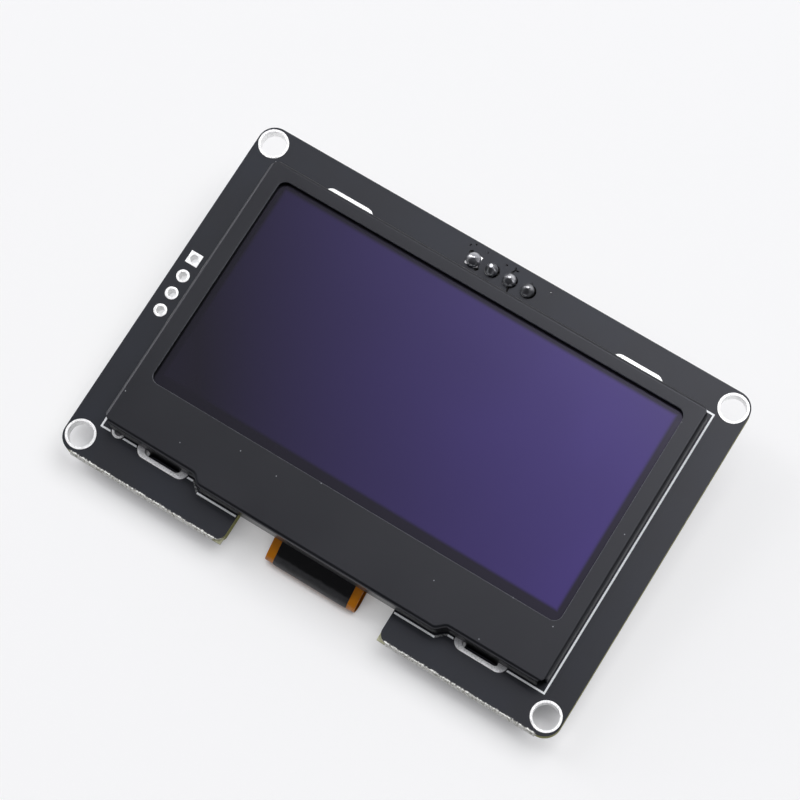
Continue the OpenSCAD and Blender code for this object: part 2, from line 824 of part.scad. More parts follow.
module flex_film() {
    color(foam_black)
        difference() {
            across(film_w)
                translate([down_start.x - down_run * cos(down_slope), down_start.y + down_run * sin(down_slope)])
                    rotate(-down_slope)
                        bent_strip(film_path, flex_t / 2, flex_t / 2 + film_t);
            for (side = [-1, 1])
                translate([flex_x + side * film_w / 2, -wall_u, film_end_z()])
                    rotate([90, 0, 0])
                        linear_extrude(loop_bulge + film_corner_r)
                            difference() {
                                square(2 * film_corner_r, center = true);
                                translate([-side * film_corner_r, film_corner_r])
                                    circle(film_corner_r);
                            }
        }
}
function film_end_z() = loop_v + (loop_r + flex_t / 2) * cos(film_turn + out_slope);

module flex_pads() {
    color(tin)
        for (x = row(flex_pad_count, flex_pad_pitch))
            slab(flex_pad_pitch * 0.6, flex_tail + flex_pad_show, -plating_t, 0,
                tail_end_y - flex_tail / 2 + flex_pad_show / 2, flex_x + x);
}

// ---------- pin header ----------

module header_body() {
    corner = 0.45;
    half = header_body_d / 2;
    color([0.10, 0.10, 0.11])
        translate([0, 0, header_bottom])
            linear_extrude(header_body_h)
                difference() {
                    for (p = upper_pins)
                        translate(p)
                            polygon([
                                [-pin_pitch / 2, -half + corner], [-pin_pitch / 2 + corner, -half],
                                [pin_pitch / 2 - corner, -half], [pin_pitch / 2, -half + corner],
                                [pin_pitch / 2, half - corner], [pin_pitch / 2 - corner, half],
                                [-pin_pitch / 2 + corner, half], [-pin_pitch / 2, half - corner]]);
                    for (p = upper_pins)
                        translate(p)
                            square(pin_t, center = true);
                }
}

// one face of a pin: a bar with both ends chamfered
module pin_face() {
    z0 = header_bottom - pin_reach;
    z1 = board_t + pin_stub;
    chamfer = pin_t / 4;
    polygon([
        [-pin_t / 2 + chamfer, z0], [pin_t / 2 - chamfer, z0], [pin_t / 2, z0 + 2 * chamfer],
        [pin_t / 2, z1 - chamfer], [pin_t / 2 - chamfer, z1],
        [-pin_t / 2 + chamfer, z1], [-pin_t / 2, z1 - chamfer], [-pin_t / 2, z0 + 2 * chamfer]]);
}

module header_pin() {
    intersection() {
        translate([0, pin_t / 2, 0])
            rotate([90, 0, 0])
                linear_extrude(pin_t)
                    pin_face();
        translate([-pin_t / 2, 0, 0])
            rotate([90, 0, 90])
                linear_extrude(pin_t)
                    pin_face();
    }
}

module header_pins() {
    color([0.85, 0.75, 0.45])
        for (p = upper_pins)
            translate(p)
                header_pin();
}

// solder round each pin: it fills the hole and stands as a dome on the front pad
module header_solder() {
    base_r = pin_pad_d / 2 - 0.02;
    dome_r = (pow(base_r, 2) + pow(dome_h, 2)) / (2 * dome_h);
    color(tin)
        for (p = upper_pins)
            translate(p)
                difference() {
                    union() {
                        translate([0, 0, -plating_t])
                            cylinder(d = pin_hole_d, h = board_t + 3 * plating_t);
                        intersection() {
                            translate([0, 0, plating_top + dome_h - dome_r])
                                sphere(dome_r);
                            translate([0, 0, plating_top])
                                cylinder(r = 2, h = 2);
                        }
                    }
                    header_pin();
                }
}

// ---------- small parts behind the board, each drawn standing on z = 0 ----------

// the middle block of a two-ended part
module chip_block(size, end) {
    translate([-size.x / 2 + end, -size.y / 2, 0])
        cube([size.x - 2 * end, size.y, size.z]);
}

// the two tinned ends of the same part
module chip_ends(size, end) {
    for (side = [-1, 1])
        translate([side * (size.x - end) / 2 - end / 2, -size.y / 2 - end_skin, 0])
            cube([end, size.y + 2 * end_skin, size.z + end_skin]);
}

// pads for two ends, each from just inside the end to just outside the part
module end_pads(span, end, w) {
    for (side = [-1, 1])
        translate([side * (span / 2 - end / 2 + pad_extra / 2), 0, 0])
            translate([-(end + pad_extra) / 2, -w / 2 - pad_side, -plating_t])
                cube([end + pad_extra, w + 2 * pad_side, plating_t]);
}

// wedges of solder against two ends
module end_fillets(span, w) {
    for (side = [0, 180])
        rotate(side)
            translate([span / 2, w / 2, 0])
                rotate([90, 0, 0])
                    linear_extrude(w)
                        polygon([[0, 0], [pad_extra * 0.8, 0], [0.08, fillet_h * 0.45], [0, fillet_h]]);
}

// one side view of a moulded body: it leans in above and below the band where its leads come out
module moulded_side(l, standoff, top) {
    mid = (standoff + top) / 2;
    polygon([
        [-l / 2 + chip_draft, standoff], [l / 2 - chip_draft, standoff],
        [l / 2, mid - lead_t / 2], [l / 2, mid + lead_t / 2],
        [l / 2 - chip_draft, top], [-l / 2 + chip_draft, top],
        [-l / 2, mid + lead_t / 2], [-l / 2, mid - lead_t / 2]]);
}

module moulded_body(size, standoff) {
    intersection() {
        translate([0, size.y / 2, 0])
            rotate([90, 0, 0])
                linear_extrude(size.y)
                    moulded_side(size.x, standoff, size.z);
        translate([-size.x / 2, 0, 0])
            rotate([90, 0, 90])
                linear_extrude(size.x)
                    moulded_side(size.y, standoff, size.z);
    }
}

// one bent lead: from a body whose half width is x0, at height mid, down to a foot that ends at x1
module gull_lead(x0, x1, mid, w) {
    knee = (x0 + x1 - lead_foot) / 2;
    translate([0, w / 2, 0])
        rotate([90, 0, 0])
            linear_extrude(w)
                polygon([
                    [x0, mid - lead_t / 2], [knee - lead_t / 2, mid - lead_t / 2], [x1 - lead_foot, 0],
                    [x1, 0], [x1, lead_t], [x1 - lead_foot + lead_t / 2, lead_t],
                    [knee + lead_t / 2, mid + lead_t / 2], [x0, mid + lead_t / 2]]);
}

module both_sides(offsets) {
    for (turn = [0, 180], y = offsets)
        rotate(turn)
            translate([0, y, 0])
                children();
}

// pads of a small moulded chip: rows at both sides, at the given offsets
module lead_pads(span, w) {
    translate([span / 2 - lead_foot - 0.1, -w / 2 - 0.06, -plating_t])
        cube([lead_foot + 0.1 + pad_extra, w + 0.12, plating_t]);
}

boost_offsets = row(3, chip_lead_pitch);
function chip_mid(size) = chip_standoff + (size.z - chip_standoff) * 0.5;

module inductor_outline() {
    half = inductor_side / 2;
    c = inductor_chamfer;
    polygon([
        [-half + c, -half], [half - c, -half], [half, -half + c], [half, half - c],
        [half - c, half], [-half + c, half], [-half, half - c], [-half, -half + c]]);
}

module inductor_core() {
    color([0.22, 0.22, 0.23])
        behind(inductor_place)
            difference() {
                translate([0, 0, inductor_clip_t])
                    linear_extrude(inductor_h - inductor_clip_t)
                        inductor_outline();
                translate([0, 0, inductor_h - inductor_groove])
                    difference() {
                        cylinder(r = inductor_ring[1], h = 1);
                        cylinder(r = inductor_ring[0], h = 1);
                    }
            }
}

module inductor_clips() {
    color(tin)
        behind(inductor_place)
            for (side = [-1, 1]) {
                translate([side * (inductor_side / 2 - 0.5) - 0.5, -inductor_clip_w / 2, 0])
                    cube([1, inductor_clip_w, inductor_clip_t]);
                translate([side > 0 ? inductor_side / 2 : -inductor_side / 2 - inductor_clip_t,
                    -inductor_clip_w / 2, 0])
                    cube([inductor_clip_t, inductor_clip_w, inductor_h / 2]);
            }
}

module boost_chip_body() {
    color([0.12, 0.12, 0.13])
        behind(boost_place)
            rotate(90)
                moulded_body(chip_body, chip_standoff);
}

module boost_chip_leads() {
    color(tin)
        behind(boost_place)
            both_sides(boost_offsets)
                gull_lead(chip_body.y / 2, lead_span / 2, chip_mid(chip_body), lead_w);
}

module at_regulator_leads() {
    for (y = [-1, 1])
        translate([0, y * chip_lead_pitch, 0])
            children();
    rotate(180)
        children();
}

module regulator_body() {
    color([0.12, 0.12, 0.13])
        behind(regulator_place)
            rotate(90)
                moulded_body(regulator_body_size, chip_standoff);
}

module regulator_leads() {
    color(tin)
        behind(regulator_place)
            at_regulator_leads()
                gull_lead(regulator_body_size.y / 2, lead_span / 2 - 0.2, chip_mid(regulator_body_size), lead_w);
}

module diode_body() {
    color([0.12, 0.12, 0.13])
        behind(diode_place)
            moulded_body(diode_body_size, chip_standoff);
}

module diode_leads() {
    color(tin)
        behind(diode_place)
            both_sides([0])
                gull_lead(diode_body_size.x / 2, diode_span / 2, chip_mid(diode_body_size), diode_lead_w);
}

module capacitor_bodies() {
    color([0.62, 0.48, 0.34]) {
        behind(capacitor_places)
            chip_block(capacitor_size, capacitor_end);
        behind(small_capacitor_places)
            chip_block(small_capacitor_size, small_end);
    }
}

module capacitor_ends() {
    color(tin) {
        behind(capacitor_places)
            chip_ends(capacitor_size, capacitor_end);
        behind(small_capacitor_places)
            chip_ends(small_capacitor_size, small_end);
    }
}

module resistor_bodies() {
    color([0.10, 0.10, 0.11])
        behind(resistor_places)
            chip_block(small_part_size, small_end);
}

module resistor_ends() {
    color(tin)
        behind(resistor_places)
            chip_ends(small_part_size, small_end);
}

module component_pads() {
    color(tin) {
        behind(capacitor_places)
            end_pads(capacitor_size.x, capacitor_end, capacitor_size.y);
        behind(concat(small_capacitor_places, resistor_places))
            end_pads(small_part_size.x, small_end, small_part_size.y);
        behind(inductor_place)
            end_pads(inductor_side, 1, inductor_clip_w);
        behind(diode_place)
            both_sides([0])
                lead_pads(diode_span, diode_lead_w);
        behind(boost_place)
            both_sides(boost_offsets)
                lead_pads(lead_span, lead_w);
        behind(regulator_place)
            at_regulator_leads()
                lead_pads(lead_span - 0.4, lead_w);
    }
}

module component_solder() {
    color(tin) {
        behind(capacitor_places)
            end_fillets(capacitor_size.x, capacitor_size.y);
        behind(concat(small_capacitor_places, resistor_places))
            end_fillets(small_part_size.x, small_part_size.y);
    }
}

circuit_board();
printed_line();
mounting_hole_plating();
header_hole_plating();
slot_plating();
locating_hole_plating();
bezel();
window_gasket();
polarizer();
front_glass();
lit_layer();
glass_seal();
rear_glass();
drying_sheet();
panel_tape();
driver_chip();
flex_cable();
flex_film();
flex_pads();
header_body();
header_pins();
header_solder();
inductor_core();
inductor_clips();
boost_chip_body();
boost_chip_leads();
regulator_body();
regulator_leads();
diode_body();
diode_leads();
capacitor_bodies();
capacitor_ends();
resistor_bodies();
resistor_ends();
component_pads();
component_solder();
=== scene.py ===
"""A small graphic display module, modelled and finished round its CAD frame.

A folded steel bezel holds a glass panel on a black circuit board. The board's tinned rings, the
solder domes of the pin header, the orange flex cable and the small parts behind the board are
each made or finished by an operator of their own.
"""

import math
from functools import partial

import bmesh
import bpy
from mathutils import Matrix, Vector


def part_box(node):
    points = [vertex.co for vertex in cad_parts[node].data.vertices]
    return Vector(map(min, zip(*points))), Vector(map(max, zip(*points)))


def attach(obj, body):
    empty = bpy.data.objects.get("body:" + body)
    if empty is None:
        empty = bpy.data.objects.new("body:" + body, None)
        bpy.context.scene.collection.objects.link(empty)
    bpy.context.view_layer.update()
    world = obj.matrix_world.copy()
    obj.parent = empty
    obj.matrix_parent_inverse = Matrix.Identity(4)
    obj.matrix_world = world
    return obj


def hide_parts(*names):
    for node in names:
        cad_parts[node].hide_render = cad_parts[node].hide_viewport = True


bl_info = {
    "name": "Display Module",
    "version": (1, 0, 0),
    "blender": (4, 5, 0),
    "location": "3D View > Sidebar > Display Module",
    "description": "Models and finishes a small graphic display module on its circuit board",
    "category": "Add Mesh",
}

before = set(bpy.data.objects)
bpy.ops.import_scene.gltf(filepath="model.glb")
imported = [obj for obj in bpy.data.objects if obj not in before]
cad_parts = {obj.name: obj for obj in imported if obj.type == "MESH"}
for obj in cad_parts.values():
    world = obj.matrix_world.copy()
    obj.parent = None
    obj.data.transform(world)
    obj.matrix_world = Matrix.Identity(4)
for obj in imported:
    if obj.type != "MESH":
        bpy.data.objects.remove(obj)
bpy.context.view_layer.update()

MM = 0.001


def linear(colour):
    """The linear colour of an sRGB hex value; a colour that is linear already stays as it is"""
    if not isinstance(colour, str):
        return tuple(colour[:3])
    parts = [int(colour[i : i + 2], 16) / 255 for i in (1, 3, 5)]
    return tuple(v / 12.92 if v <= 0.04045 else ((v + 0.055) / 1.055) ** 2.4 for v in parts)


# ---------- places that come from the frame ----------

bezel_low, bezel_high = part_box("bezel")
board_low, board_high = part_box("circuit_board")
polarizer_low, polarizer_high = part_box("polarizer")
cable_low, cable_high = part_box("flex_cable")
solder_low, solder_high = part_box("header_solder")
pins_low, pins_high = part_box("header_pins")
plating_low, plating_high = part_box("mounting_hole_plating")
lit_low, lit_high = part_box("lit_layer")


# ---------- settings ----------


def number(name, description, default, **kind):
    return bpy.props.FloatProperty(name=name, description=description, default=default, **kind)


def length(name, description, millimetres):
    return number(name, description, millimetres * MM, unit="LENGTH")


def swatch(name, description, colour):
    return bpy.props.FloatVectorProperty(
        name=name, description=description, default=linear(colour), subtype="COLOR"
    )


class BezelSettings(bpy.types.PropertyGroup):
    sheet: length("Sheet thickness", "Thickness of the steel sheet", 0.3)
    bend_radius: length("Bend radius", "Outer radius of the sheet's long bends", 0.45)
    step_width: length("Step width", "Width of the lower wall's middle part", 33)
    step_depth: length("Step depth", "How far the middle part stands out", 1.0)
    step_run: length("Step run", "Length of the slanted run at each end of the step", 1.1)
    step_outer_radius: length("Step outer radius", "Radius of the step's two projecting corners", 0.9)
    step_inner_radius: length("Step inner radius", "Radius of the step's two inner corners", 0.6)
    corner_cut: length("Corner cut", "Length cut off each side at the corners", 0.95)
    window_margin: length("Polarizer margin", "Width of the polarizer hidden behind the window's edge", 0.85)
    window_corner: length("Window corner", "Radius of the window's corners", 1.1)
    window_rollover: length("Window rollover", "Rounding that the punch leaves round the window", 0.07)
    tab_width: length("Tab width", "Width of the tabs folded over behind the board", 4.4)
    tab_length: length("Tab length", "Length of the tabs behind the board", 1.9)
    upper_tab_x: length("Upper tab offset", "Distance of the upper tabs from the middle", 20.45)
    lower_tab_x: length("Lower tab offset", "Distance of the lower tabs from the middle", 22.3)
    paint: swatch("Paint", "Colour of the stoved paint on the bezel", "#141518")


class BoardSettings(bpy.types.PropertyGroup):
    mask: swatch("Solder mask", "Colour of the board's solder mask", "#15171a")
    laminate: swatch("Laminate", "Colour of the glass and epoxy at the cut edges", "#a9a870")
    legend: swatch("Printed line", "Colour of the printed ink", "#f6f8fa")
    score_web: length("Torn web", "How far the torn web stands out of the lower edge", 0.2)
    notch_width: length("Notch width", "Width of the notch for the flex cable", 21.9)
    notch_corner: length("Notch corner", "Radius of the board's corners at the notch", 1.2)
    ring_edge: length("Ring rounding", "Rounding of the tinned rings' edges", 0.045)


class PanelSettings(bpy.types.PropertyGroup):
    # The display tint is the brightest colour of the painted reflection on the polarizer
    tint: swatch("Display tint", "Violet of the polarizer over the lit area", "#46397a")
    border: swatch("Border tint", "Tint of the polarizer round the lit area", "#26242b")


class CableSettings(bpy.types.PropertyGroup):
    film: swatch("Cable film", "Amber of the polyimide cable", "#f39305")
    cover: swatch("Cover film", "Colour of the black cover film", "#0e0e10")


class HeaderSettings(bpy.types.PropertyGroup):
    pin_pitch: length("Pin pitch", "Distance between two pins", 2.54)
    dome_radius: length("Dome radius", "Radius of a solder dome", 0.86)


class StageSettings(bpy.types.PropertyGroup):
    lens: number("Lens", "Focal length of the camera", 118.94, unit="CAMERA")
    floor: swatch("Floor", "Colour of the pale floor", "#fbfbfc")
    back_power: number("Back light", "Power of the wide lamp behind the module", 17.0, unit="POWER")
    left_power: number("Left light", "Power of the tall lamp at the module's left", 7.6, unit="POWER")
    lamp_distance: length("Lamp distance", "Distance of the lamps from the module", 1600)
    floor_lift: number(
        "Floor lift", "How far the camera sees the floor as plain white", 0.48, subtype="FACTOR", min=0, max=1
    )


class ModuleSettings(bpy.types.PropertyGroup):
    bezel: bpy.props.PointerProperty(type=BezelSettings)
    board: bpy.props.PointerProperty(type=BoardSettings)
    panel: bpy.props.PointerProperty(type=PanelSettings)
    cable: bpy.props.PointerProperty(type=CableSettings)
    header: bpy.props.PointerProperty(type=HeaderSettings)
    stage: bpy.props.PointerProperty(type=StageSettings)


# ---------- materials ----------

COOL_SHEEN = "#f3f4ff"  # the glossy blacks mirror a little more blue than red
# At a scale of 1 the wave node repeats after this length, in metres
WAVE_PERIOD = 2 * math.pi / 20


def give(tree, socket, value):
    """Links an input to its source, or sets its value"""
    if isinstance(value, bpy.types.NodeSocket):
        tree.links.new(value, socket)
    else:
        socket.default_value = (*linear(value), 1.0) if socket.type == "RGBA" else value


def add_node(tree, kind, output, inputs=(), place=None, **settings):
    """Adds a node with its settings, feeds its inputs and gives one of its outputs, or all of them.

    Inputs in a tuple are in the node's own order. A vector that isn't given is the place.
    """
    made = tree.nodes.new("ShaderNode" + kind)
    if kind == "Mix":
        made.data_type = "RGBA"  # every mix here is one of colours
    for name, value in settings.items():
        setattr(made, name, value)
    inputs = inputs if isinstance(inputs, dict) else dict(enumerate(inputs))
    if place and "Vector" in made.inputs and not {0, "Vector"} & inputs.keys():
        give(tree, made.inputs["Vector"], place)
    for name, value in inputs.items():
        give(tree, made.inputs[name], value)
    return made.outputs if output is None else made.outputs[output]


def feed_shader(material, **sources):
    """Feeds the material's shader and gives the material back"""
    shader = material.node_tree.nodes["Principled BSDF"]
    for name, source in sources.items():
        give(material.node_tree, shader.inputs[name.replace("_", " ")], source)
    return material


def new_finish(name, colour, roughness, metallic=0.0, ior=1.5, **constants):
    """Starts a material; gives the calls that add its nodes, placed by the object, and feed its shader"""
    material = bpy.data.materials.new(name)
    material.use_nodes = True
    if not metallic:
        constants["IOR"] = ior
    feed_shader(material, Base_Color=colour, Roughness=roughness, Metallic=metallic, **constants)
    place = add_node(material.node_tree, "TexCoord", "Object")
    return partial(add_node, material.node_tree, place=place), partial(feed_shader, material)


def grain(size, detail=2, roughness=0.5):
    """A noise node's inputs for features of this size in mm"""
    return {"Scale": 1 / (size * MM), "Detail": detail, "Roughness": roughness}


def raised(height, depth):
    """A bump node's inputs for a relief of this depth in mm"""
    return {"Height": height, "Distance": depth * MM}


def shade(colour, factor):
    return [min(1.0, v * factor) for v in colour]


def finish(material, *names):
    """Gives CAD nodes their material on every slot"""
    for name in names:
        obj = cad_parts[name]
        if not obj.material_slots:
            obj.data.materials.append(material)
        for slot in obj.material_slots:
            slot.material = material


# ---------- modelling ----------

CLOSE = 0.01 * MM  # parts of a mesh within this distance of a place count as being there


def begin(name, kind, **sizes):
    """Adds a primitive at its size and place, with its place in its mesh"""
    bpy.ops.object.select_all(action="DESELECT")
    getattr(bpy.ops.mesh, f"primitive_{kind}_add")(**sizes)
    obj = bpy.context.active_object
    obj.name = obj.data.name = name
    bpy.ops.object.transform_apply(location=True, rotation=True, scale=True)
    return obj


def only(obj):
    """Selects this object alone and makes it the active one"""
    bpy.ops.object.select_all(action="DESELECT")
    obj.select_set(True)
    bpy.context.view_layer.objects.active = obj


def edit():
    """Edit mode with everything selected"""
    bpy.ops.object.mode_set(mode="EDIT")
    bpy.ops.mesh.select_all(action="SELECT")


def end_edit():
    bpy.ops.object.mode_set(mode="OBJECT")


def join(parts, name):
    """Joins the parts into the first one, which gets the name"""
    only(parts[0])
    for part in parts[1:]:
        part.select_set(True)
    bpy.ops.object.join()
    parts[0].name = parts[0].data.name = name
    return parts[0]


def pick(obj, kind, test):
    """In edit mode, selects the vertices, edges or faces whose middle passes the test"""
    bpy.ops.mesh.select_mode(type=kind)
    bpy.ops.mesh.select_all(action="DESELECT")
    mesh = bmesh.from_edit_mesh(obj.data)
    parts = {"VERT": mesh.verts, "EDGE": mesh.edges, "FACE": mesh.faces}[kind]
    for part in parts:
        middle = part.co if kind == "VERT" else sum((v.co for v in part.verts), Vector()) / len(part.verts)
        if test(middle, part):
            part.select_set(True)
    bmesh.update_edit_mesh(obj.data)


def stretch(factors, centre):
    """In edit mode, resizes what is selected about a point"""
    bpy.ops.transform.resize(value=factors, center_override=centre)


def round_off(offset, segments, kind="EDGES", **limits):
    """In edit mode, rounds off the selected edges or vertices"""
    bpy.ops.mesh.bevel(offset=offset, segments=segments, affect=kind, **limits)


def apply_modifier(obj, kind, **settings):
    only(obj)
    modifier = obj.modifiers.new(kind.lower(), kind)
    for name, value in settings.items():
        setattr(modifier, name, value)
    bpy.ops.object.modifier_apply(modifier=modifier.name)


def round_edges(obj, width, segments, angle=30):
    """Rounds the edges that are sharper than an angle"""
    apply_modifier(
        obj, "BEVEL", width=width, segments=segments, limit_method="ANGLE", angle_limit=math.radians(angle)
    )


def cut_plane(place, normal, fill=True):
    """In edit mode, cuts off what is selected beyond a plane, and closes the cut if asked to"""
    bpy.ops.mesh.bisect(plane_co=place, plane_no=normal, clear_outer=True, use_fill=fill)


def cut_away(obj, cutter):
    apply_modifier(obj, "BOOLEAN", operation="DIFFERENCE", solver="EXACT", object=cutter)
    bpy.data.objects.remove(cutter)


def smooth(obj, angle=35, weighted=True):
    """Smooths the shading up to an angle and keeps large flat faces flat"""
    only(obj)
    bpy.ops.object.shade_smooth_by_angle(angle=math.radians(angle))
    if weighted:
        apply_modifier(obj, "WEIGHTED_NORMAL", mode="FACE_AREA", keep_sharp=True)


def settle(obj, material, slot_name, *nodes):
    """Paints a piece, which rides on the module and stands for the CAD nodes that it details"""
    obj.data.materials.clear()
    obj.data.materials.append(material)
    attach(obj, "root")
    if nodes:
        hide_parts(*nodes)


def copy_of(name, new_name):
    """A merged copy of a CAD node's mesh, as a piece of its own"""
    obj = bpy.data.objects.new(new_name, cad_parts[name].data.copy())
    bpy.context.scene.collection.objects.link(obj)
    obj.data.name = new_name
    only(obj)
    edit()
    bpy.ops.mesh.remove_doubles(threshold=0.000001)
    bpy.ops.mesh.dissolve_limited(angle_limit=math.radians(1))
    end_edit()
    return obj


# ---------- finishes in fine grains ----------

FINE = (3, 0.6)
SOFT = (2,)

# Two tones, roughness, size and relief of the grains in mm, their detail, the shader's own constants
GRAINED = {
    # Glass and epoxy laminate where it tore: pale straw with a green cast, fibrous and matt
    "torn_laminate": ("#8c8b52", "#f0efd6", 0.85, 0.25, 0.05, FINE, {}),
    # Solder that ran round the bezel's leg and froze dull: grey, crystalline and uneven
    "dull_solder": ("#4a4a4c", "#b9b9bb", 0.5, 0.3, 0.03, FINE, {}),
    # Rosin flux baked by the iron: a thin black-brown glaze with a glassy skin. It also paints the shadow
    # round three of the header's domes.
    "baked_rosin_flux_and_painted_shadow": ("#040404", "#14110e", 0.3, 0.3, 0.03, SOFT, {}),
    # UV-cured epoxy bead: translucent straw colour, with small waves where it was squeezed
    "cured_epoxy_bead": (
        "#a59a70", "#cbc29d", 0.25, 0.6, 0.02, SOFT, {"ior": 1.55, "Transmission_Weight": 0.3}
    ),
    # Pressed calcium oxide sheet: chalk white and matt with a fine powder grain
    "pressed_drying_sheet": ("#c9c8c0", "#efeee8", 0.9, 0.1, 0.02, (4, 0.7), {}),
    # Glass-filled nylon, moulded: black with a fine spark-eroded texture
    "moulded_glass_filled_nylon": ("#101011", "#1e1e20", 0.5, 0.08, 0.008, FINE, {"ior": 1.53}),
    # Sintered nickel-zinc ferrite: dark grey and matt with a granular skin
    "sintered_ferrite": ("#28282c", "#47474d", 0.65, 0.09, 0.015, FINE, {}),
    # Silica-filled epoxy, transfer moulded: charcoal with the mould's fine matt texture
    "moulded_chip_resin": ("#1c1c1f", "#303034", 0.58, 0.06, 0.006, FINE, {"ior": 1.55}),
    # Fired barium titanate: warm tan and slightly waxy, with a fine speckle
    "fired_capacitor_ceramic": ("#8f7454", "#bda384", 0.42, 0.07, 0.004, FINE, {"ior": 1.7}),
}


def grained(name):
    """A finish of two close tones in fine grains, which also raise the surface"""
    first, second, roughness, size, depth, detail, constants = GRAINED[name]
    node, feed = new_finish(name, first, roughness, **constants)
    grains = node("TexNoise", "Fac", grain(size, *detail))
    tone = node("Mix", 2, {0: grains, 6: first, 7: second})
    return feed(Base_Color=tone, Normal=node("Bump", 0, raised(grains, depth)))


# ---------- finishes of the board ----------


def solder_mask_on_laminate(settings):
    # Woven glass and epoxy laminate under a black liquid solder mask. The mask is satin, nearly
    # black and a little blue; the routed sides show dull yellow-green laminate, and the snapped
    # lower edge a ragged whitish band of torn glass fibre that also frays over the face's edge.
    node, feed = new_finish(
        "black_solder_mask_on_laminate", settings.mask, 0.35, Specular_Tint=COOL_SHEEN, Emission_Strength=0.14
    )
    x, y = node("SeparateXYZ", None)[:2]
    facing = node("SeparateXYZ", "Z", (node("TexCoord", "Normal"),))
    level = node("Math", 0, (facing,), operation="ABSOLUTE")
    side = node("MapRange", 0, (level, 0.85, 0.8))

    # Mask: a slow drift of tone, as the coating varies by a few micrometres
    drift = node("TexNoise", "Fac", grain(8, 2))
    cool = node("MapRange", 0, (drift, 0.35, 0.65))
    bluer = [v * factor for v, factor in zip(settings.mask, (1.0, 1.15, 1.4))]
    mask = node("Mix", 2, {0: cool, 6: shade(settings.mask, 0.85), 7: bluer})

    # Sides: glass bundles about 0.35 mm apart, and finer torn ends along the snapped edge
    bundles = node("TexNoise", "Fac", grain(0.35, 3, 0.6))
    routed = node("Mix", 2, {0: bundles, 6: "#6c6c3c", 7: settings.laminate})
    torn_grain = node("TexNoise", "Fac", grain(0.3, 4, 0.7))
    fibre = node("MapRange", 0, (torn_grain, 0.38, 0.55))
    torn = node("Mix", 2, {0: fibre, 6: "#aeada2", 7: "#fbfbf6"})
    lower = node("MapRange", 0, (y, board_low.y + 0.9 * MM, board_low.y + 0.5 * MM))
    across = node("Math", 0, (x,), operation="ABSOLUTE")
    inner = node("MapRange", 0, (across, board_high.x - 1.9 * MM, board_high.x - 2.3 * MM))
    snapped = node("Math", 0, (lower, inner), operation="MULTIPLY")
    edge = node("Mix", 2, {0: snapped, 6: routed, 7: torn})
    fringe = board_low.y + settings.score_web - 0.14 * MM
    fray = node("Math", 0, (torn_grain, -0.6 * MM, y), operation="MULTIPLY_ADD")
    lip = node("MapRange", 0, (fray, fringe, fringe - 0.12 * MM))
    frayed = node("Math", 0, (lip, inner), operation="MULTIPLY")
    bare = node("Math", 0, (side, frayed), operation="MAXIMUM")
    colour = node("Mix", 2, {0: bare, 6: mask, 7: edge})
    dull = node("MapRange", 0, (bare, 0, 1, 0.35, 0.85))

    # The mask has a very fine orange peel, about 0.5 mm across; the sides are ragged
    peel = node("TexNoise", "Fac", grain(0.5, 1))
    ragged = node("Math", 0, (torn_grain, bare), operation="MULTIPLY")
    height = node("Math", 0, (peel, 0.04, ragged), operation="MULTIPLY_ADD")
    relief = node("Bump", 0, {"Height": height, "Distance": 0.12 * MM, "Strength": 0.7})
    # The bare laminate is given a painted glow, which lightens the routed sides and the torn band
    painted_edge_glow = node("Mix", 2, {0: bare, 6: (0, 0, 0), 7: edge})
    return feed(Base_Color=colour, Roughness=dull, Normal=relief, Emission_Color=painted_edge_glow)


def printed_ink(settings, bezel):
    # White epoxy legend ink, screen printed: chalky and a little uneven where the mesh left it thin;
    # along the two slants of its lower run it fades into the mask's colour.
    # Its emission is a painted glow, which lightens the whole line, also where it lies in the bezel's shade.
    node, feed = new_finish("white_legend_ink", settings.legend, 0.6, Emission_Strength=0.2)
    x, y = node("SeparateXYZ", None)[:2]
    mesh_marks = node("TexNoise", "Fac", grain(0.18, 2))
    ink = node("Mix", 2, {0: mesh_marks, 6: "#dfe2e5", 7: settings.legend})
    middle = bezel.step_width / 2 + bezel.step_run / 2 + 0.2 * MM
    across = node("Math", 0, (x,), operation="ABSOLUTE")
    slant = node("Math", 0, (across, middle, 0.6 * MM), operation="COMPARE")
    low = node("Math", 0, (y, board_low.y + 6 * MM), operation="LESS_THAN")
    thin = node("Math", 0, (slant, low), operation="MULTIPLY")
    patchy = node("MapRange", 0, (mesh_marks, 0.35, 0.6, 1.0, 0.75))
    faded_to_mask = node("Math", 0, (thin, patchy), operation="MULTIPLY")
    colour = node("Mix", 2, {0: faded_to_mask, 6: ink, 7: settings.mask})
    return feed(Base_Color=colour, Emission_Color=colour, Normal=node("Bump", 0, raised(mesh_marks, 0.01)))


def levelled_tin():
    # Hot-air levelled tin: pale and bright, a little wavy where it froze, with softly dull grains
    node, feed = new_finish("hot_air_levelled_tin", "#fafaf9", 0.45, 1.0)
    waves = node("TexNoise", "Fac", grain(0.7, 2))
    grains = node("TexNoise", "Fac", grain(0.2, 2, 0.6))
    pale = node("MapRange", 0, (grains, 0.35, 0.5))
    tone = node("Mix", 2, {0: pale, 6: "#e2e2e1", 7: "#ffffff"})
    dull = node("MapRange", 0, (waves, 0.3, 0.7, 0.38, 0.55))
    height = node("Math", 0, (grains, 0.12, waves), operation="MULTIPLY_ADD")
    return feed(Base_Color=tone, Roughness=dull, Normal=node("Bump", 0, raised(height, 0.02)))


# ---------- finishes of the bezel ----------


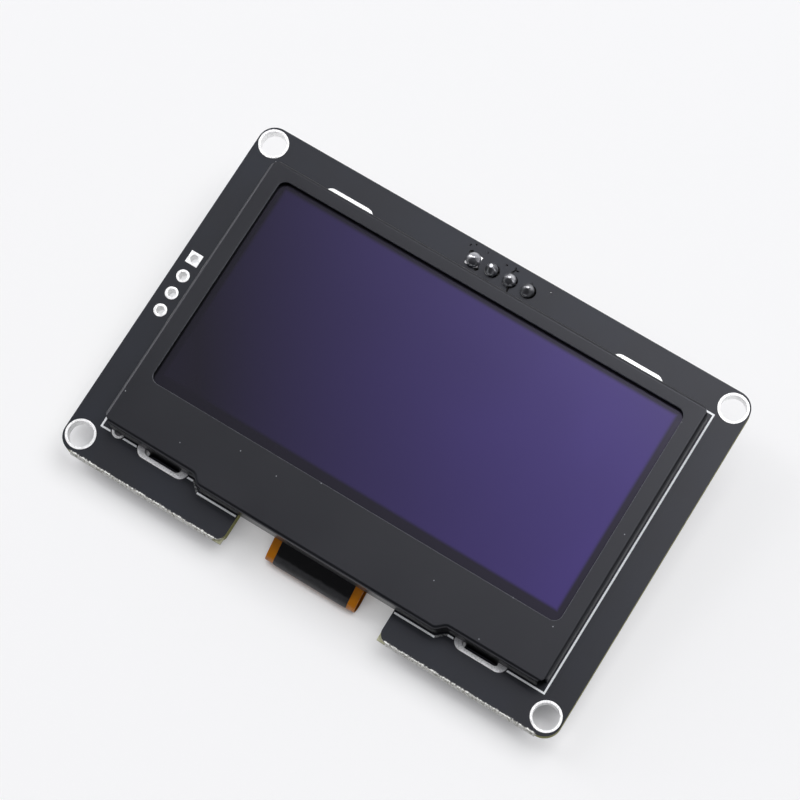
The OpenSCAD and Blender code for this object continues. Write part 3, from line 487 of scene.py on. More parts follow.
def stoved_black_paint(settings):
    # Cold-rolled steel with a thin stoved black paint: semi-gloss, with a faint orange peel and
    # a few specks of lint under the coat; round the punched window a hairline of bare steel is
    # painted in, lightened into a painted highlight where the sharp edge catches the light
    node, feed = new_finish("stoved_black_paint_on_steel", settings.paint, 0.33, Specular_Tint=COOL_SHEEN)
    place = node("TexCoord", "Object")
    peel = node("TexNoise", "Fac", grain(0.3, 2, 0.6))
    drift = node("TexNoise", "Fac", grain(12, 2))
    thin, thick = shade(settings.paint, 0.85), shade(settings.paint, 1.2)
    tone = node("Mix", 2, {0: drift, 6: thin, 7: thick})

    # Lint and dust: one speck in some of the cells, 6.5 mm apart and about 0.15 mm across
    cells = node("TexVoronoi", "Distance", {"Scale": 1 / (6.5 * MM)}, voronoi_dimensions="2D")
    speck = node("MapRange", 0, (cells, 0.0125, 0.006))
    sparse = node("TexNoise", "Fac", grain(4.5, 0))
    chosen = node("MapRange", 0, (sparse, 0.5, 0.53))
    dust = node("Math", 0, (speck, chosen), operation="MULTIPLY")
    tone = node("Mix", 2, {0: dust, 6: tone, 7: "#b4b6bc"})

    # Distance from the window's rounded edge
    inset = settings.window_margin + settings.window_corner
    reach = (polarizer_high - polarizer_low) / 2 - Vector((inset, inset, 0))
    reach.z = 1
    shifted = node("VectorMath", 0, (place, (polarizer_low + polarizer_high) / 2), operation="SUBTRACT")
    folded = node("VectorMath", 0, (shifted,), operation="ABSOLUTE")
    beyond = node("VectorMath", 0, (folded, reach), operation="SUBTRACT")
    clipped = node("VectorMath", 0, (beyond, (0, 0, 0)), operation="MAXIMUM")
    radius = node("VectorMath", "Value", (clipped,), operation="LENGTH")
    # Painted highlight: a light grey hairline of bare steel round the window's cut edge
    hairline = settings.window_corner + settings.window_rollover * 0.7
    bare_edge_and_highlight = node("MapRange", 0, (radius, hairline, hairline - 0.02 * MM))
    broken = node("MapRange", 0, (peel, 0.3, 0.5, 0.3, 0.8))
    bare = node("Math", 0, (bare_edge_and_highlight, broken), operation="MULTIPLY")
    tone = node("Mix", 2, {0: bare, 6: tone, 7: "#77797e"})

    dull = node("MapRange", 0, (drift, 0.3, 0.7, 0.3, 0.37))
    height = node("Math", 0, (peel, dust), operation="ADD")
    return feed(Base_Color=tone, Roughness=dull, Normal=node("Bump", 0, raised(height, 0.003)))


def black_foam():
    # Closed-cell foam: dull black with fine open cells about 0.15 mm across at its cut sides
    node, feed = new_finish("closed_cell_foam", "#121214", 0.95)
    cells = node("TexVoronoi", "Distance", {"Scale": 1 / (0.15 * MM)})
    tone = node("Mix", 2, {0: cells, 6: "#0a0a0b", 7: "#222224"})
    return feed(Base_Color=tone, Normal=node("Bump", 0, raised(cells, 0.04)))


# ---------- finishes of the panel ----------


def polarizer_film(settings):
    # Circular polarizer film over a dark panel: smooth and faintly satin. Its violet leftover
    # reflection is painted in, a painted reflection strongest over the lit area and fading towards the left;
    # the resin bead round that area shows as a greyer strip with a soft edge, which takes the same painted
    # fade.
    sheen = {"Specular_Tint": "#e2dbff"}
    node, feed = new_finish("circular_polarizer_film", settings.tint, 0.18, ior=1.49, **sheen)
    place = node("TexCoord", "Object")
    centre = (lit_low + lit_high) / 2
    half = (lit_high - lit_low) / 2
    # From -1 to 1 across the lit area
    shifted = node("VectorMath", 0, (place, centre), operation="SUBTRACT")
    scaled = node("VectorMath", 0, (shifted, (1 / half.x, 1 / half.y, 0)), operation="MULTIPLY")
    across, rise = node("SeparateXYZ", None, (scaled,))[:2]
    folded = node("VectorMath", 0, (shifted,), operation="ABSOLUTE")
    beyond = node("VectorMath", 0, (folded, (half.x, half.y, 0)), operation="SUBTRACT")
    over_x, over_y = node("SeparateXYZ", None, (beyond,))[:2]
    reach = node("Math", 0, (over_x, over_y), operation="MAXIMUM")
    outside = node("MapRange", 0, (reach, -0.35 * MM, 0.2 * MM), interpolation_type="SMOOTHSTEP")
    # Painted reflection: the violet darkens to near black towards the left, and a little towards the bottom
    slope = node("Math", 0, (rise, 0.32, across), operation="MULTIPLY_ADD")
    painted_reflection_fade = node("MapRange", 0, (slope, -1.14, 0.86))
    glow = node("Mix", 2, {0: painted_reflection_fade, 6: "#19181c", 7: settings.tint})
    cloud = node("TexNoise", "Fac", grain(14, 1))
    veil = node("MapRange", 0, (cloud, 0.35, 0.7, 0, 0.12))
    glow = node("Mix", 2, {0: veil, 6: glow, 7: "#2a2540"})
    # The strip round the lit area has the same painted reflection fade
    rim = node("Mix", 2, {0: painted_reflection_fade, 6: "#161618", 7: settings.border})
    tone = node("Mix", 2, {0: outside, 6: glow, 7: rim})
    ripple = node("TexNoise", "Fac", grain(1.6, 1))
    return feed(Base_Color=tone, Normal=node("Bump", 0, raised(ripple, 0.001)))


def display_glass():
    # Float soda-lime glass, ground at its edges: clear with a green cast and slightly frosted cuts
    node, feed = new_finish("float_glass", "#c9d8d2", 0.05, ior=1.52, Transmission_Weight=0.85)
    ground = node("TexNoise", "Fac", grain(0.12, 3))
    frost = node("MapRange", 0, (ground, 0.4, 0.7, 0.03, 0.22))
    return feed(Roughness=frost, Normal=node("Bump", 0, raised(ground, 0.002)))


def lit_layers():
    # Vacuum-deposited organic layers and aluminium: a dark mirror with a violet cast and fine rows
    node, feed = new_finish("deposited_lit_layers", "#2c2742", 0.2, 0.6)
    # Rows of dots 0.43 mm apart
    rows = node("TexWave", "Fac", {"Scale": WAVE_PERIOD / (0.43 * MM)}, bands_direction="Y")
    return feed(Base_Color=node("Mix", 2, {0: rows, 6: "#211d33", 7: "#37304f"}))


def bare_silicon():
    # Ground silicon die: a dark blue-grey mirror with faint grinding marks along x
    node, feed = new_finish("ground_silicon", "#4b4e57", 0.28, 0.8)
    drawn = node("Mapping", 0, {"Scale": (0.1, 1, 1)})
    marks = node("TexNoise", "Fac", {"Vector": drawn, **grain(0.05, 2)})
    tone = node("Mix", 2, {0: marks, 6: "#3d4048", 7: "#5c606b"})
    return feed(Base_Color=tone, Normal=node("Bump", 0, raised(marks, 0.001)))


# ---------- finishes of the flex cable ----------


def amber_polyimide(settings):
    # Polyimide film over copper tracks: glossy amber, clear at its margins and deeper between
    # them, where the tracks run underneath
    node, feed = new_finish("amber_polyimide_cable", settings.film, 0.3, ior=1.55)
    x = node("SeparateXYZ", "X")
    # Tracks 0.35 mm apart run along the cable, across x; the margins are 1.2 mm wide
    tracks = node("TexWave", "Fac", {"Scale": WAVE_PERIOD / (0.35 * MM)}, bands_direction="X")
    covered = node("MapRange", 0, (tracks, 0.25, 0.75))
    middle, half = (cable_low.x + cable_high.x) / 2, (cable_high.x - cable_low.x) / 2
    inside = node("Math", 0, (x, middle, half - 1.2 * MM), operation="COMPARE")
    copper = node("Math", 0, (covered, inside), operation="MULTIPLY")
    drift = node("TexNoise", "Fac", grain(1.5, 2))
    deep, pale = shade(settings.film, 0.8), shade(settings.film, 1.15)
    film = node("Mix", 2, {0: drift, 6: deep, 7: pale})
    depth = node("Math", 0, (copper, 0.45), operation="MULTIPLY")
    tone = node("Mix", 2, {0: depth, 6: film, 7: "#8a4d0c"})
    return feed(Base_Color=tone, Normal=node("Bump", 0, raised(copper, 0.008)))


def black_cover_film(settings):
    # Black polyester cover film: smooth and semi-gloss where it lies flat. In a ragged band where the cable
    # bends, about 1 mm above the loop, it is crazed and rougher, and painted greyer as a painted reflection
    # of the bend
    node, feed = new_finish("black_cover_film", settings.cover, 0.3)
    y = node("SeparateXYZ", "Y")
    ripple = node("TexNoise", "Fac", grain(0.9, 3, 0.6))
    edge = node("Math", 0, (ripple, 0.5 * MM, y), operation="MULTIPLY_ADD")
    crazed_and_sheen_band = node("MapRange", 0, (edge, cable_low.y + 1.3 * MM, cable_low.y + 1.1 * MM))
    flat = node("Mix", 2, {0: ripple, 6: shade(settings.cover, 0.7), 7: settings.cover})
    # The greyer tones of the band are a painted reflection of the bend
    painted_bend_sheen = node("Mix", 2, {0: ripple, 6: "#1f1f21", 7: "#47474a"})
    tone = node("Mix", 2, {0: crazed_and_sheen_band, 6: flat, 7: painted_bend_sheen})
    dull = node("MapRange", 0, (crazed_and_sheen_band, 0, 1, 0.28, 0.5))
    return feed(Base_Color=tone, Roughness=dull, Normal=node("Bump", 0, raised(ripple, 0.02)))


# ---------- finishes of the header and the parts ----------


def reflowed_solder():
    # Lead-free solder that froze from the melt: satin bright, softly dimpled, with a few dull grains
    node, feed = new_finish("frozen_solder", "#d6d6d9", 0.31, 1.0)
    dimples = node("TexNoise", "Fac", grain(0.5, 1))
    grains = node("TexNoise", "Fac", grain(0.25, 2, 0.6))
    dull = node("MapRange", 0, (grains, 0.45, 0.7, 0.29, 0.33))
    tone = node("Mix", 2, {0: grains, 6: "#cdced2", 7: "#e0e0e2"})
    return feed(Base_Color=tone, Roughness=dull, Normal=node("Bump", 0, raised(dimples, 0.004)))


def gold_flash():
    # Thin gold over nickel on brass pins: warm pale yellow metal, drawn lengthwise along z
    node, feed = new_finish("gold_flashed_pin", "#e3c26f", 0.25, 1.0)
    drawn = node("Mapping", 0, {"Scale": (1, 1, 0.06)})
    lines = node("TexNoise", "Fac", {"Vector": drawn, **grain(0.08, 2)})
    tone = node("Mix", 2, {0: lines, 6: "#cda654", 7: "#f0d68c"})
    dull = node("MapRange", 0, (lines, 0.3, 0.7, 0.2, 0.36))
    return feed(Base_Color=tone, Roughness=dull, Normal=node("Bump", 0, raised(lines, 0.003)))


def glazed_resistor(level):
    # Alumina chip with a black glass glaze: the glazed outer face is dark, the sides are white ceramic
    node, feed = new_finish("glazed_chip_resistor", "#17181b", 0.3, ior=1.6)
    z = node("SeparateXYZ", "Z")
    glaze = node("MapRange", 0, (z, level + 0.1 * MM, level + 0.06 * MM))
    fine = node("TexNoise", "Fac", grain(0.08, 3))
    white = node("Mix", 2, {0: fine, 6: "#cfccc4", 7: "#ecebe6"})
    black = node("Mix", 2, {0: fine, 6: "#0f1012", 7: "#202226"})
    tone = node("Mix", 2, {0: glaze, 6: white, 7: black})
    return feed(Base_Color=tone, Normal=node("Bump", 0, raised(fine, 0.004)))


# ---------- operators ----------


class DISPLAYMODULE_OT_board(bpy.types.Operator):
    """Finish the circuit board and its printed line, and round off its tinned rings"""

    bl_idname = "display_module.board"
    bl_label = "Circuit board"

    def execute(self, context):
        settings = context.scene.display_module.board
        finish(solder_mask_on_laminate(settings), "circuit_board")
        finish(printed_ink(settings, context.scene.display_module.bezel), "printed_line")
        tin = levelled_tin()
        for name in ("mounting_hole_plating", "slot_plating", "header_hole_plating", "locating_hole_plating"):
            rings = copy_of(name, name.replace("plating", "tinning"))
            round_edges(rings, settings.ring_edge, 3, 40)
            smooth(rings)
            settle(rings, tin, "tin", name)
        self.torn_corners(settings)
        self.eyelet_fill()
        return {"FINISHED"}

    def eyelet_fill(self):
        """Dull solder fills the locating eyelet round the bezel's leg"""
        low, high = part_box("locating_hole_plating")
        centre = (low + high) / 2
        fill = begin(
            "eyelet_fill",
            "cylinder",
            vertices=32,
            radius=(high.x - low.x) * 0.33,
            depth=board_high.z * 0.5,
            location=(centre.x, centre.y, board_high.z * 0.7),
        )
        round_edges(fill, 0.05 * MM, 2)
        smooth(fill)
        settle(fill, grained("dull_solder"), "tin")

    def torn_corners(self, settings):
        """Where the board was snapped off, a thin web of laminate stays at the notch's rounded corners"""
        webs = []
        for side in (-1, 1):
            corner = Vector((side * settings.notch_width / 2, board_low.y, board_high.z * 0.62))
            size = settings.notch_corner
            web = begin("web", "cube", size=size, location=corner, scale=(1, 1, 0.3))
            edit()
            # The cube's far corner along the diagonal is cut off, and its near edge is flattened
            bpy.ops.transform.translate(value=(side * size / 2, size / 2, 0))
            cut_plane(corner + Vector((side * size, 0, 0)), Vector((side, 1, 0)).normalized())
            pick(web, "VERT", lambda m, part: (m - corner).xy.length < CLOSE)
            stretch((1, 1, 0.4), corner)
            end_edit()
            webs.append(web)
        corners = join(webs, "torn_corners")
        round_edges(corners, 0.05 * MM, 1)
        smooth(corners)
        settle(corners, grained("torn_laminate"), "board")


class DISPLAYMODULE_OT_bezel(bpy.types.Operator):
    """Fold the steel bezel with its stepped lower wall, its window and its tabs"""

    bl_idname = "display_module.bezel"
    bl_label = "Folded bezel"

    def execute(self, context):
        settings = context.scene.display_module.bezel
        foot = plating_high.z
        bezel = self.folded_shell(settings, foot)
        self.cut_window(bezel, settings)
        join([bezel, self.tabs(settings, foot)], "folded_bezel")
        round_edges(bezel, 0.03 * MM, 2, 50)
        smooth(bezel)
        settle(bezel, stoved_black_paint(settings), "bezel_paint", "bezel")
        return {"FINISHED"}

    def folded_shell(self, settings, foot):
        """The sheet's outer skin, stepped, folded down and cut at its corners, then given its thickness"""
        lower = bezel_low.y + settings.tab_length
        middle = Vector((0, (lower + bezel_high.y) / 2, bezel_high.z))
        shell = begin("folded_shell", "plane", size=2, location=middle)
        half_w = bezel_high.x
        half_h = (bezel_high.y - lower) / 2
        edit()
        stretch((half_w, half_h, 1), middle)

        # The lower edge gets four more corners, which become the ends of the step's two slants
        pick(shell, "EDGE", lambda m, part: m.y < lower + CLOSE)
        bpy.ops.mesh.subdivide(number_cuts=4)
        outer = settings.step_width / 2 + settings.step_run
        inner = settings.step_width / 2
        fifth = half_w / 5
        pick(shell, "VERT", lambda m, part: m.y < lower + CLOSE and 2 * fifth < abs(m.x) < 4 * fifth)
        stretch((outer / (3 * fifth), 1, 1), middle)
        pick(shell, "VERT", lambda m, part: m.y < lower + CLOSE and abs(m.x) < 2 * fifth)
        stretch((inner / fifth, 1, 1), middle)
        bpy.ops.transform.translate(value=(0, -settings.step_depth, 0))

        # The step's corners are rounded in plan, each by the run that its radius takes up
        half_turn = math.tan(math.atan2(settings.step_depth, settings.step_run) / 2)
        pick(shell, "VERT", lambda m, part: m.y < lower - settings.step_depth / 2)
        round_off(settings.step_outer_radius * half_turn, 8, "VERTICES", clamp_overlap=False)
        pick(shell, "VERT", lambda m, part: abs(m.y - lower) < CLOSE and abs(abs(m.x) - outer) < CLOSE)
        round_off(settings.step_inner_radius * half_turn, 8, "VERTICES", clamp_overlap=False)

        # The walls are folded down, and the fold is rounded
        pick(shell, "EDGE", lambda m, part: part.is_boundary)
        bpy.ops.mesh.extrude_edges_move(TRANSFORM_OT_translate={"value": (0, 0, foot - bezel_high.z)})
        bpy.ops.mesh.select_all(action="SELECT")
        bpy.ops.mesh.normals_make_consistent(inside=False)
        top = bezel_high.z - CLOSE
        pick(shell, "EDGE", lambda m, part: m.z > top and len(part.link_faces) == 2)
        round_off(settings.bend_radius, 8, clamp_overlap=False)

        # The corners are cut off aslant, so that the folds don't collide
        for side in (-1, 1):
            for y, up in ((lower, -1), (bezel_high.y, 1)):
                corner = Vector((side * half_w, y, 0))
                bpy.ops.mesh.select_all(action="SELECT")
                slant = Vector((side, up, 0)).normalized()
                cut_plane(corner - Vector((side * settings.corner_cut, 0, 0)), slant, False)
        end_edit()
        apply_modifier(shell, "SOLIDIFY", thickness=settings.sheet, offset=-1, use_even_offset=True)
        return shell

    def cut_window(self, bezel, settings):
        width = polarizer_high.x - polarizer_low.x - 2 * settings.window_margin
        height = polarizer_high.y - polarizer_low.y - 2 * settings.window_margin
        centre = (polarizer_low + polarizer_high) / 2
        centre.z = bezel_high.z
        cutter = begin("window_cutter", "cube", size=1, location=centre)
        edit()
        stretch((width, height, 0.002), centre)
        pick(cutter, "EDGE", lambda m, part: abs(part.verts[0].co.z - part.verts[1].co.z) > 0.001)
        round_off(settings.window_corner, 10)
        end_edit()
        cut_away(bezel, cutter)

        # The punch rolls the sheet's upper edge over round the window
        only(bezel)
        edit()
        reach = Vector((width / 2, height / 2)) + Vector((0.01, 0.01)) * MM

        def on_rim(m, part):
            inside = abs(m.x - centre.x) < reach.x and abs(m.y - centre.y) < reach.y
            return inside and m.z > bezel_high.z - CLOSE and len(part.link_faces) == 2

        pick(bezel, "EDGE", on_rim)
        round_off(settings.window_rollover, 3)
        end_edit()

    def tabs(self, settings, foot):
        """The four tabs folded over behind the board, and the locating leg"""
        made = []
        lower = bezel_low.y + settings.tab_length
        # The upper tabs are folded inwards and the lower ones outwards, where they close their slots
        for x, wall, way in (
            (-settings.upper_tab_x, bezel_high.y, -1),
            (settings.upper_tab_x, bezel_high.y, -1),
            (-settings.lower_tab_x, lower + settings.sheet, -1),
            (settings.lower_tab_x, lower + settings.sheet, -1),
        ):
            start = Vector((x, wall, foot + settings.sheet))
            tab = begin("tab", "plane", size=settings.tab_width, location=start)
            edit()
            # The plane is narrowed to a line along the wall, which is then drawn down and in
            pick(tab, "VERT", lambda m, part: True)
            stretch((1, 0, 1), start)
            bpy.ops.mesh.remove_doubles(threshold=0.00001)
            bpy.ops.mesh.select_all(action="SELECT")
            drop = plating_low.z - settings.sheet - start.z
            bpy.ops.mesh.extrude_edges_move(TRANSFORM_OT_translate={"value": (0, 0, drop)})
            reach = way * (settings.sheet + settings.tab_length)
            bpy.ops.mesh.extrude_edges_move(TRANSFORM_OT_translate={"value": (0, reach, 0)})

            def on_fold(m, part):
                level = abs(part.verts[0].co.z - part.verts[1].co.z) < 0.001 * MM
                return level and abs(m.y - wall) < 0.001 * MM and m.z < 0

            pick(tab, "EDGE", on_fold)
            round_off(settings.bend_radius, 6)
            bpy.ops.mesh.select_all(action="SELECT")
            bpy.ops.mesh.normals_make_consistent(inside=False)
            end_edit()
            upright = sum((p.normal * p.area for p in tab.data.polygons if abs(p.normal.y) > 0.9), Vector())
            side = -1 if upright.y * -way > 0 else 1
            apply_modifier(tab, "SOLIDIFY", thickness=settings.sheet, offset=side, use_even_offset=True)
            made.append(tab)
        leg_low, leg_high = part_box("locating_hole_plating")
        leg_x = (leg_low.x + leg_high.x) / 2
        leg = begin(
            "leg",
            "cube",
            size=1,
            location=(leg_x, lower + settings.sheet / 2, (foot + settings.sheet + 0.8 * MM) / 2),
            scale=(0.7 * MM, settings.sheet, foot + settings.sheet - 0.8 * MM),
        )
        edit()
        pick(leg, "EDGE", lambda m, part: m.z < 0.9 * MM)
        round_off(0.08 * MM, 2)
        end_edit()
        return join(made + [leg], "tabs")


class DISPLAYMODULE_OT_panel(bpy.types.Operator):
    """Finish the glass panel, its polarizer and what holds it"""

    bl_idname = "display_module.panel"
    bl_label = "Glass panel"

    def execute(self, context):
        settings = context.scene.display_module.panel
        finish(polarizer_film(settings), "polarizer")
        finish(black_foam(), "window_gasket", "panel_tape")
        finish(display_glass(), "front_glass", "rear_glass")
        finish(lit_layers(), "lit_layer")
        finish(grained("cured_epoxy_bead"), "glass_seal")
        finish(grained("pressed_drying_sheet"), "drying_sheet")
        finish(bare_silicon(), "driver_chip")
        return {"FINISHED"}


class DISPLAYMODULE_OT_cable(bpy.types.Operator):
    """Finish the flex cable, its black film and its soldered pads"""

    bl_idname = "display_module.cable"
    bl_label = "Flex cable"

    def execute(self, context):
        settings = context.scene.display_module.cable
        finish(amber_polyimide(settings), "flex_cable")
        finish(black_cover_film(settings), "flex_film")
        finish(bpy.data.materials["hot_air_levelled_tin"], "flex_pads")
        return {"FINISHED"}


# Each dome's swelling, its height over the pad, the width of its tip's flat and the tip's lean
DOME_SHAPES = (
    (1.08, 1.35 * MM, 0.26 * MM, (0.04, -0.03)),
    (0.95, 1.7 * MM, 0.52 * MM, (-0.06, 0.04)),
    (0.98, 1.35 * MM, 0.3 * MM, (0.0, 0.02)),
    (0.98, 1.5 * MM, 0.32 * MM, (0.03, 0.03)),
)

# Dark drops beside each pin, in mm and degrees: middle from the pin, length, width and turn. Most are flux;
# the wide first drops under the last three domes are flux and painted shadow.
FLUX_AND_SHADOW_SHAPES = (
    (
        (-1.35, 1.5, 0.4, 0.16, 70),
        (-0.75, 1.9, 0.24, 0.2, 10),
        (1.0, 1.72, 0.18, 0.16, 0),
        (-0.8, 0.82, 0.6, 0.42, 45),
        (0.82, -0.8, 0.66, 0.46, 45),
    ),
    # The wide first drop of each of these three rows is flux and painted shadow round the dome, set off to
    # the right
    ((0.12, 0.02, 1.86, 1.8, 0), (1.25, 1.55, 0.3, 0.2, 30)),
    (
        (0.1, 0.03, 1.84, 1.84, 0),
        (-0.18, 1.25, 0.66, 0.22, 66),
        (-0.12, 1.68, 0.44, 0.2, 100),
        (0.16, 1.52, 0.52, 0.2, 10),
        (0.36, -1.1, 0.9, 0.24, 102),
    ),
    ((0.14, 0.04, 1.9, 1.88, 0), (0.0, 1.1, 0.3, 0.12, 80)),
)


class DISPLAYMODULE_OT_header(bpy.types.Operator):
    """Shape the header's solder domes and finish its pins and body"""

    bl_idname = "display_module.header"
    bl_label = "Pin header"

    def execute(self, context):
        settings = context.scene.display_module.header
        finish(gold_flash(), "header_pins")
        finish(grained("moulded_glass_filled_nylon"), "header_body")
        row_y = (solder_low.y + solder_high.y) / 2
        middle_x = (solder_low.x + solder_high.x) / 2
        pins = [(middle_x + (n - 1.5) * settings.pin_pitch, row_y) for n in range(4)]
        domes = [self.dome(settings, x, y, *shape) for (x, y), shape in zip(pins, DOME_SHAPES)]
        # A stray bead of solder lies on the board beyond the row
        bead = Vector((pins[3][0] + 2.56 * MM, row_y + 1.25 * MM, board_high.z + 0.05 * MM))
        domes.append(begin("bead", "ico_sphere", subdivisions=3, radius=0.1 * MM, location=bead))
        joined = join(domes, "solder_domes")
        smooth(joined, 60, False)
        settle(joined, reflowed_solder(), "tin", "header_solder")

        # Dark drops of flux, some of which also paint the domes' shadow on the board
        marks = [self.dark_drop(x, y, *shape) for (x, y), shapes in zip(pins, FLUX_AND_SHADOW_SHAPES) for shape in shapes]
        dark_drops = join(marks, "flux_and_painted_shadow")
        edit()
        cut_plane((0, 0, board_high.z), (0, 0, -1))
        end_edit()
        smooth(dark_drops, 60, False)
        settle(dark_drops, grained("baked_rosin_flux_and_painted_shadow"), "seal")
        return {"FINISHED"}

    def dome(self, settings, x, y, swell, height, top, lean):
        """A ball of solder that has climbed the square tip of its pin"""
        level = plating_high.z
        radius = settings.dome_radius * swell
        centre = Vector((x, y, level + radius * 0.28))
        dome = begin("dome", "uv_sphere", segments=48, ring_count=32, radius=radius, location=centre)
        edit()
        cut_plane((x, y, level - 0.03 * MM), (0, 0, -1))
        # The melt has climbed the pin: the ball's top is drawn up and flattened
        pick(dome, "VERT", lambda m, part: m.z > centre.z and (m - centre).xy.length < top * 0.55)
        crown = centre.z + radius
        rise = Vector((lean[0] * MM, lean[1] * MM, level + height - crown))
        bpy.ops.transform.translate(
            value=rise,
            use_proportional_edit=True,
            proportional_edit_falloff="SHARP",
            proportional_size=top / 2 + 0.5 * MM,
        )
        stretch((1, 1, 0.1), (x, y, level + height))
        end_edit()
        return dome

    def dark_drop(self, x, y, across, rise, length, width, turn):
        """A flat dark drop, of flux and in places of painted shadow, given by its middle from the pin, its
        size and its turn in degrees
        """
        return begin(
            "dark_drop",
            "uv_sphere",
            segments=24,
            ring_count=8,
            radius=1,
            location=(x + across * MM, y + rise * MM, board_high.z),
            rotation=(0, 0, math.radians(turn)),
            scale=(length / 2 * MM, width / 2 * MM, (0.05 + 0.08 * min(width, 1)) * MM),
        )


class DISPLAYMODULE_OT_components(bpy.types.Operator):
    """Finish the small parts soldered behind the board"""

    bl_idname = "display_module.components"
    bl_label = "Parts behind the board"

    def execute(self, context):
        finish(bpy.data.materials["frozen_solder"], "component_solder", "component_pads")
        tin = bpy.data.materials["hot_air_levelled_tin"]
        finish(tin, "capacitor_ends", "resistor_ends", "inductor_clips")
        finish(tin, "boost_chip_leads", "regulator_leads", "diode_leads")
        finish(grained("moulded_chip_resin"), "boost_chip_body", "regulator_body", "diode_body")
        finish(grained("sintered_ferrite"), "inductor_core")
        finish(grained("fired_capacitor_ceramic"), "capacitor_bodies")
        finish(glazed_resistor(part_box("resistor_bodies")[0].z), "resistor_bodies")
        return {"FINISHED"}


# The camera's place in mm and its turn in degrees, the width of its sensor in mm and its near end in m
CAMERA_PLACE = (53.567, -60.655, 307.262)
CAMERA_TURN = (15.0781, 2.6447, 31.883)
SENSOR_WIDTH = 36
CLIP_START = 0.01

# Direction from the module and size in m of the two lamps
BACK_LAMP = ((0.16, 0.55, 0.82), (1.2, 1.2))
LEFT_LAMP = ((-0.9, 0.17, 0.5), (0.4, 1.5))


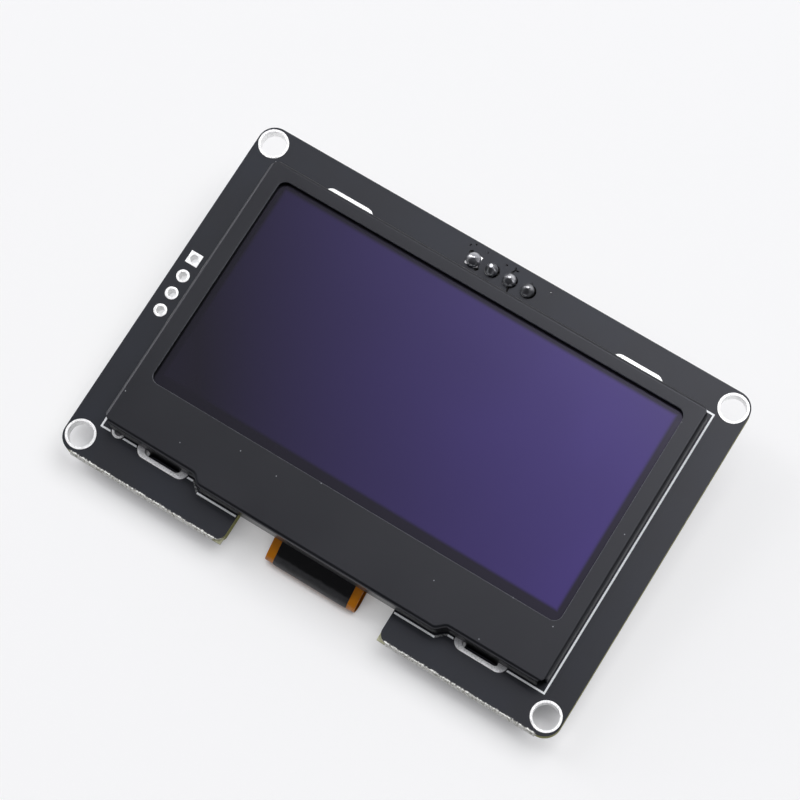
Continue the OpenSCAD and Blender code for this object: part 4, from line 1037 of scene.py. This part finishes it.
class DISPLAYMODULE_OT_stage(bpy.types.Operator):
    """Set up the pale floor, the soft light and the camera"""

    bl_idname = "display_module.stage"
    bl_label = "Stage"

    def execute(self, context):
        settings = context.scene.display_module.stage
        self.camera(context, settings)
        self.floor(settings)
        self.lights(context, settings)
        context.scene.view_settings.view_transform = "Standard"
        return {"FINISHED"}

    def camera(self, context, settings):
        """Above the lower right side, looking down, turned by about a third of a right angle"""
        bpy.ops.object.camera_add(
            location=[v * MM for v in CAMERA_PLACE],
            rotation=[math.radians(a) for a in CAMERA_TURN],
        )
        camera = bpy.context.active_object
        camera.name = "camera"
        camera.data.lens = settings.lens
        camera.data.sensor_width = SENSOR_WIDTH
        camera.data.clip_start = CLIP_START
        context.scene.camera = camera

    def floor(self, settings):
        """The module leans: it rests on the tips of its header pins and on the loop of its flex cable"""
        pin_y = (pins_low.y + pins_high.y) / 2
        cable_y = cable_low.y + 1.15 * MM
        tilt = math.atan2(pins_low.z - cable_low.z, pin_y - cable_y)
        floor = begin("floor", "plane", size=6)
        foot = Vector((0, pin_y, pins_low.z - 0.02 * MM))
        bpy.ops.transform.rotate(value=-tilt, orient_axis="X", center_override=(0, 0, 0))
        bpy.ops.transform.translate(value=foot)
        bpy.ops.object.transform_apply(location=True, rotation=True, scale=True)
        node, feed = new_finish("matt_white_card", settings.floor, 0.9, Specular_IOR_Level=0.1)
        # The camera, and metal and glass, see the card partly as plain white, which lifts the shadow
        rays = node("LightPath", None)
        seen = node("Math", 0, (rays["Is Camera Ray"], rays["Is Glossy Ray"]), operation="MAXIMUM")
        seen = node("Math", 0, (seen, rays["Is Transmission Ray"]), operation="MAXIMUM")
        lift = node("Math", 0, (seen, settings.floor_lift), operation="MULTIPLY")
        # Close under the cable and the board the shadow stays deep
        near = node("AmbientOcclusion", "AO", {"Distance": 5 * MM})
        open_floor = node("MapRange", 0, (near, 0.25, 0.8))
        lift = node("Math", 0, (lift, open_floor), operation="MULTIPLY")
        plain = node("Emission", 0, {"Color": settings.floor, "Strength": 1.0})
        # Light that bounces finds the card greyer than it looks, which keeps the module's sides dark
        bounce = node("Mix", 2, {0: seen, 6: "#b0b0b2", 7: settings.floor})
        card = feed(Base_Color=bounce)
        tree = card.node_tree
        mixed = node("MixShader", 0, (lift, tree.nodes["Principled BSDF"].outputs[0], plain))
        tree.links.new(mixed, tree.nodes["Material Output"].inputs["Surface"])
        floor.data.materials.append(card)

    def lights(self, context, settings):
        """A wide lamp behind the module, a tall one at its left, and a room that is dark behind the camera"""
        self.lamp("back_light", *BACK_LAMP, settings.back_power, settings.lamp_distance)
        self.lamp("left_light", *LEFT_LAMP, settings.left_power, settings.lamp_distance)
        world = bpy.data.worlds.new("soft_room")
        context.scene.world = world
        world.use_nodes = True
        tree = world.node_tree
        away = context.scene.camera.matrix_world.to_3x3() @ Vector((0, 1, 0))
        place = add_node(tree, "TexCoord", "Generated")
        upward = add_node(tree, "VectorMath", "Value", (place, away), operation="DOT_PRODUCT")
        ramp = add_node(tree, "MapRange", 0, (upward, -0.1, 0.45), interpolation_type="SMOOTHSTEP")
        glow = add_node(tree, "Mix", 2, {0: ramp, 6: "#48484c", 7: "#b4b4b8"})
        tree.links.new(glow, tree.nodes["Background"].inputs["Color"])

    def lamp(self, name, direction, size, power, distance):
        """A rectangular lamp turned towards the module"""
        away = Vector(direction).normalized()
        bpy.ops.object.light_add(type="AREA", location=away * distance)
        lamp = bpy.context.active_object
        lamp.name = name
        lamp.data.shape = "RECTANGLE"
        lamp.data.size, lamp.data.size_y = size
        lamp.data.energy = power
        lamp.rotation_euler = away.to_track_quat("Z", "Y").to_euler()


CLASSES = (
    BezelSettings,
    BoardSettings,
    PanelSettings,
    CableSettings,
    HeaderSettings,
    StageSettings,
    ModuleSettings,
    DISPLAYMODULE_OT_board,
    DISPLAYMODULE_OT_bezel,
    DISPLAYMODULE_OT_panel,
    DISPLAYMODULE_OT_cable,
    DISPLAYMODULE_OT_header,
    DISPLAYMODULE_OT_components,
    DISPLAYMODULE_OT_stage,
)

STEPS = ("board", "bezel", "panel", "cable", "header", "components", "stage")


class DISPLAYMODULE_PT_sidebar(bpy.types.Panel):
    """Lists the module's steps and settings"""

    bl_idname = "DISPLAYMODULE_PT_sidebar"
    bl_label = "Display Module"
    bl_space_type = "VIEW_3D"
    bl_region_type = "UI"
    bl_category = "Display Module"

    def draw(self, context):
        settings = context.scene.display_module
        for step in STEPS:
            box = self.layout.box()
            box.operator(f"display_module.{step}")
            group = getattr(settings, step, None)
            for name in group.__annotations__ if group else ():
                box.prop(group, name)


def register():
    for item in CLASSES + (DISPLAYMODULE_PT_sidebar,):
        bpy.utils.register_class(item)
    bpy.types.Scene.display_module = bpy.props.PointerProperty(type=ModuleSettings)


def unregister():
    del bpy.types.Scene.display_module
    for item in reversed(CLASSES + (DISPLAYMODULE_PT_sidebar,)):
        bpy.utils.unregister_class(item)


def main():
    register()
    for step in STEPS:
        getattr(bpy.ops.display_module, step)()


if __name__ == "__main__":
    main()
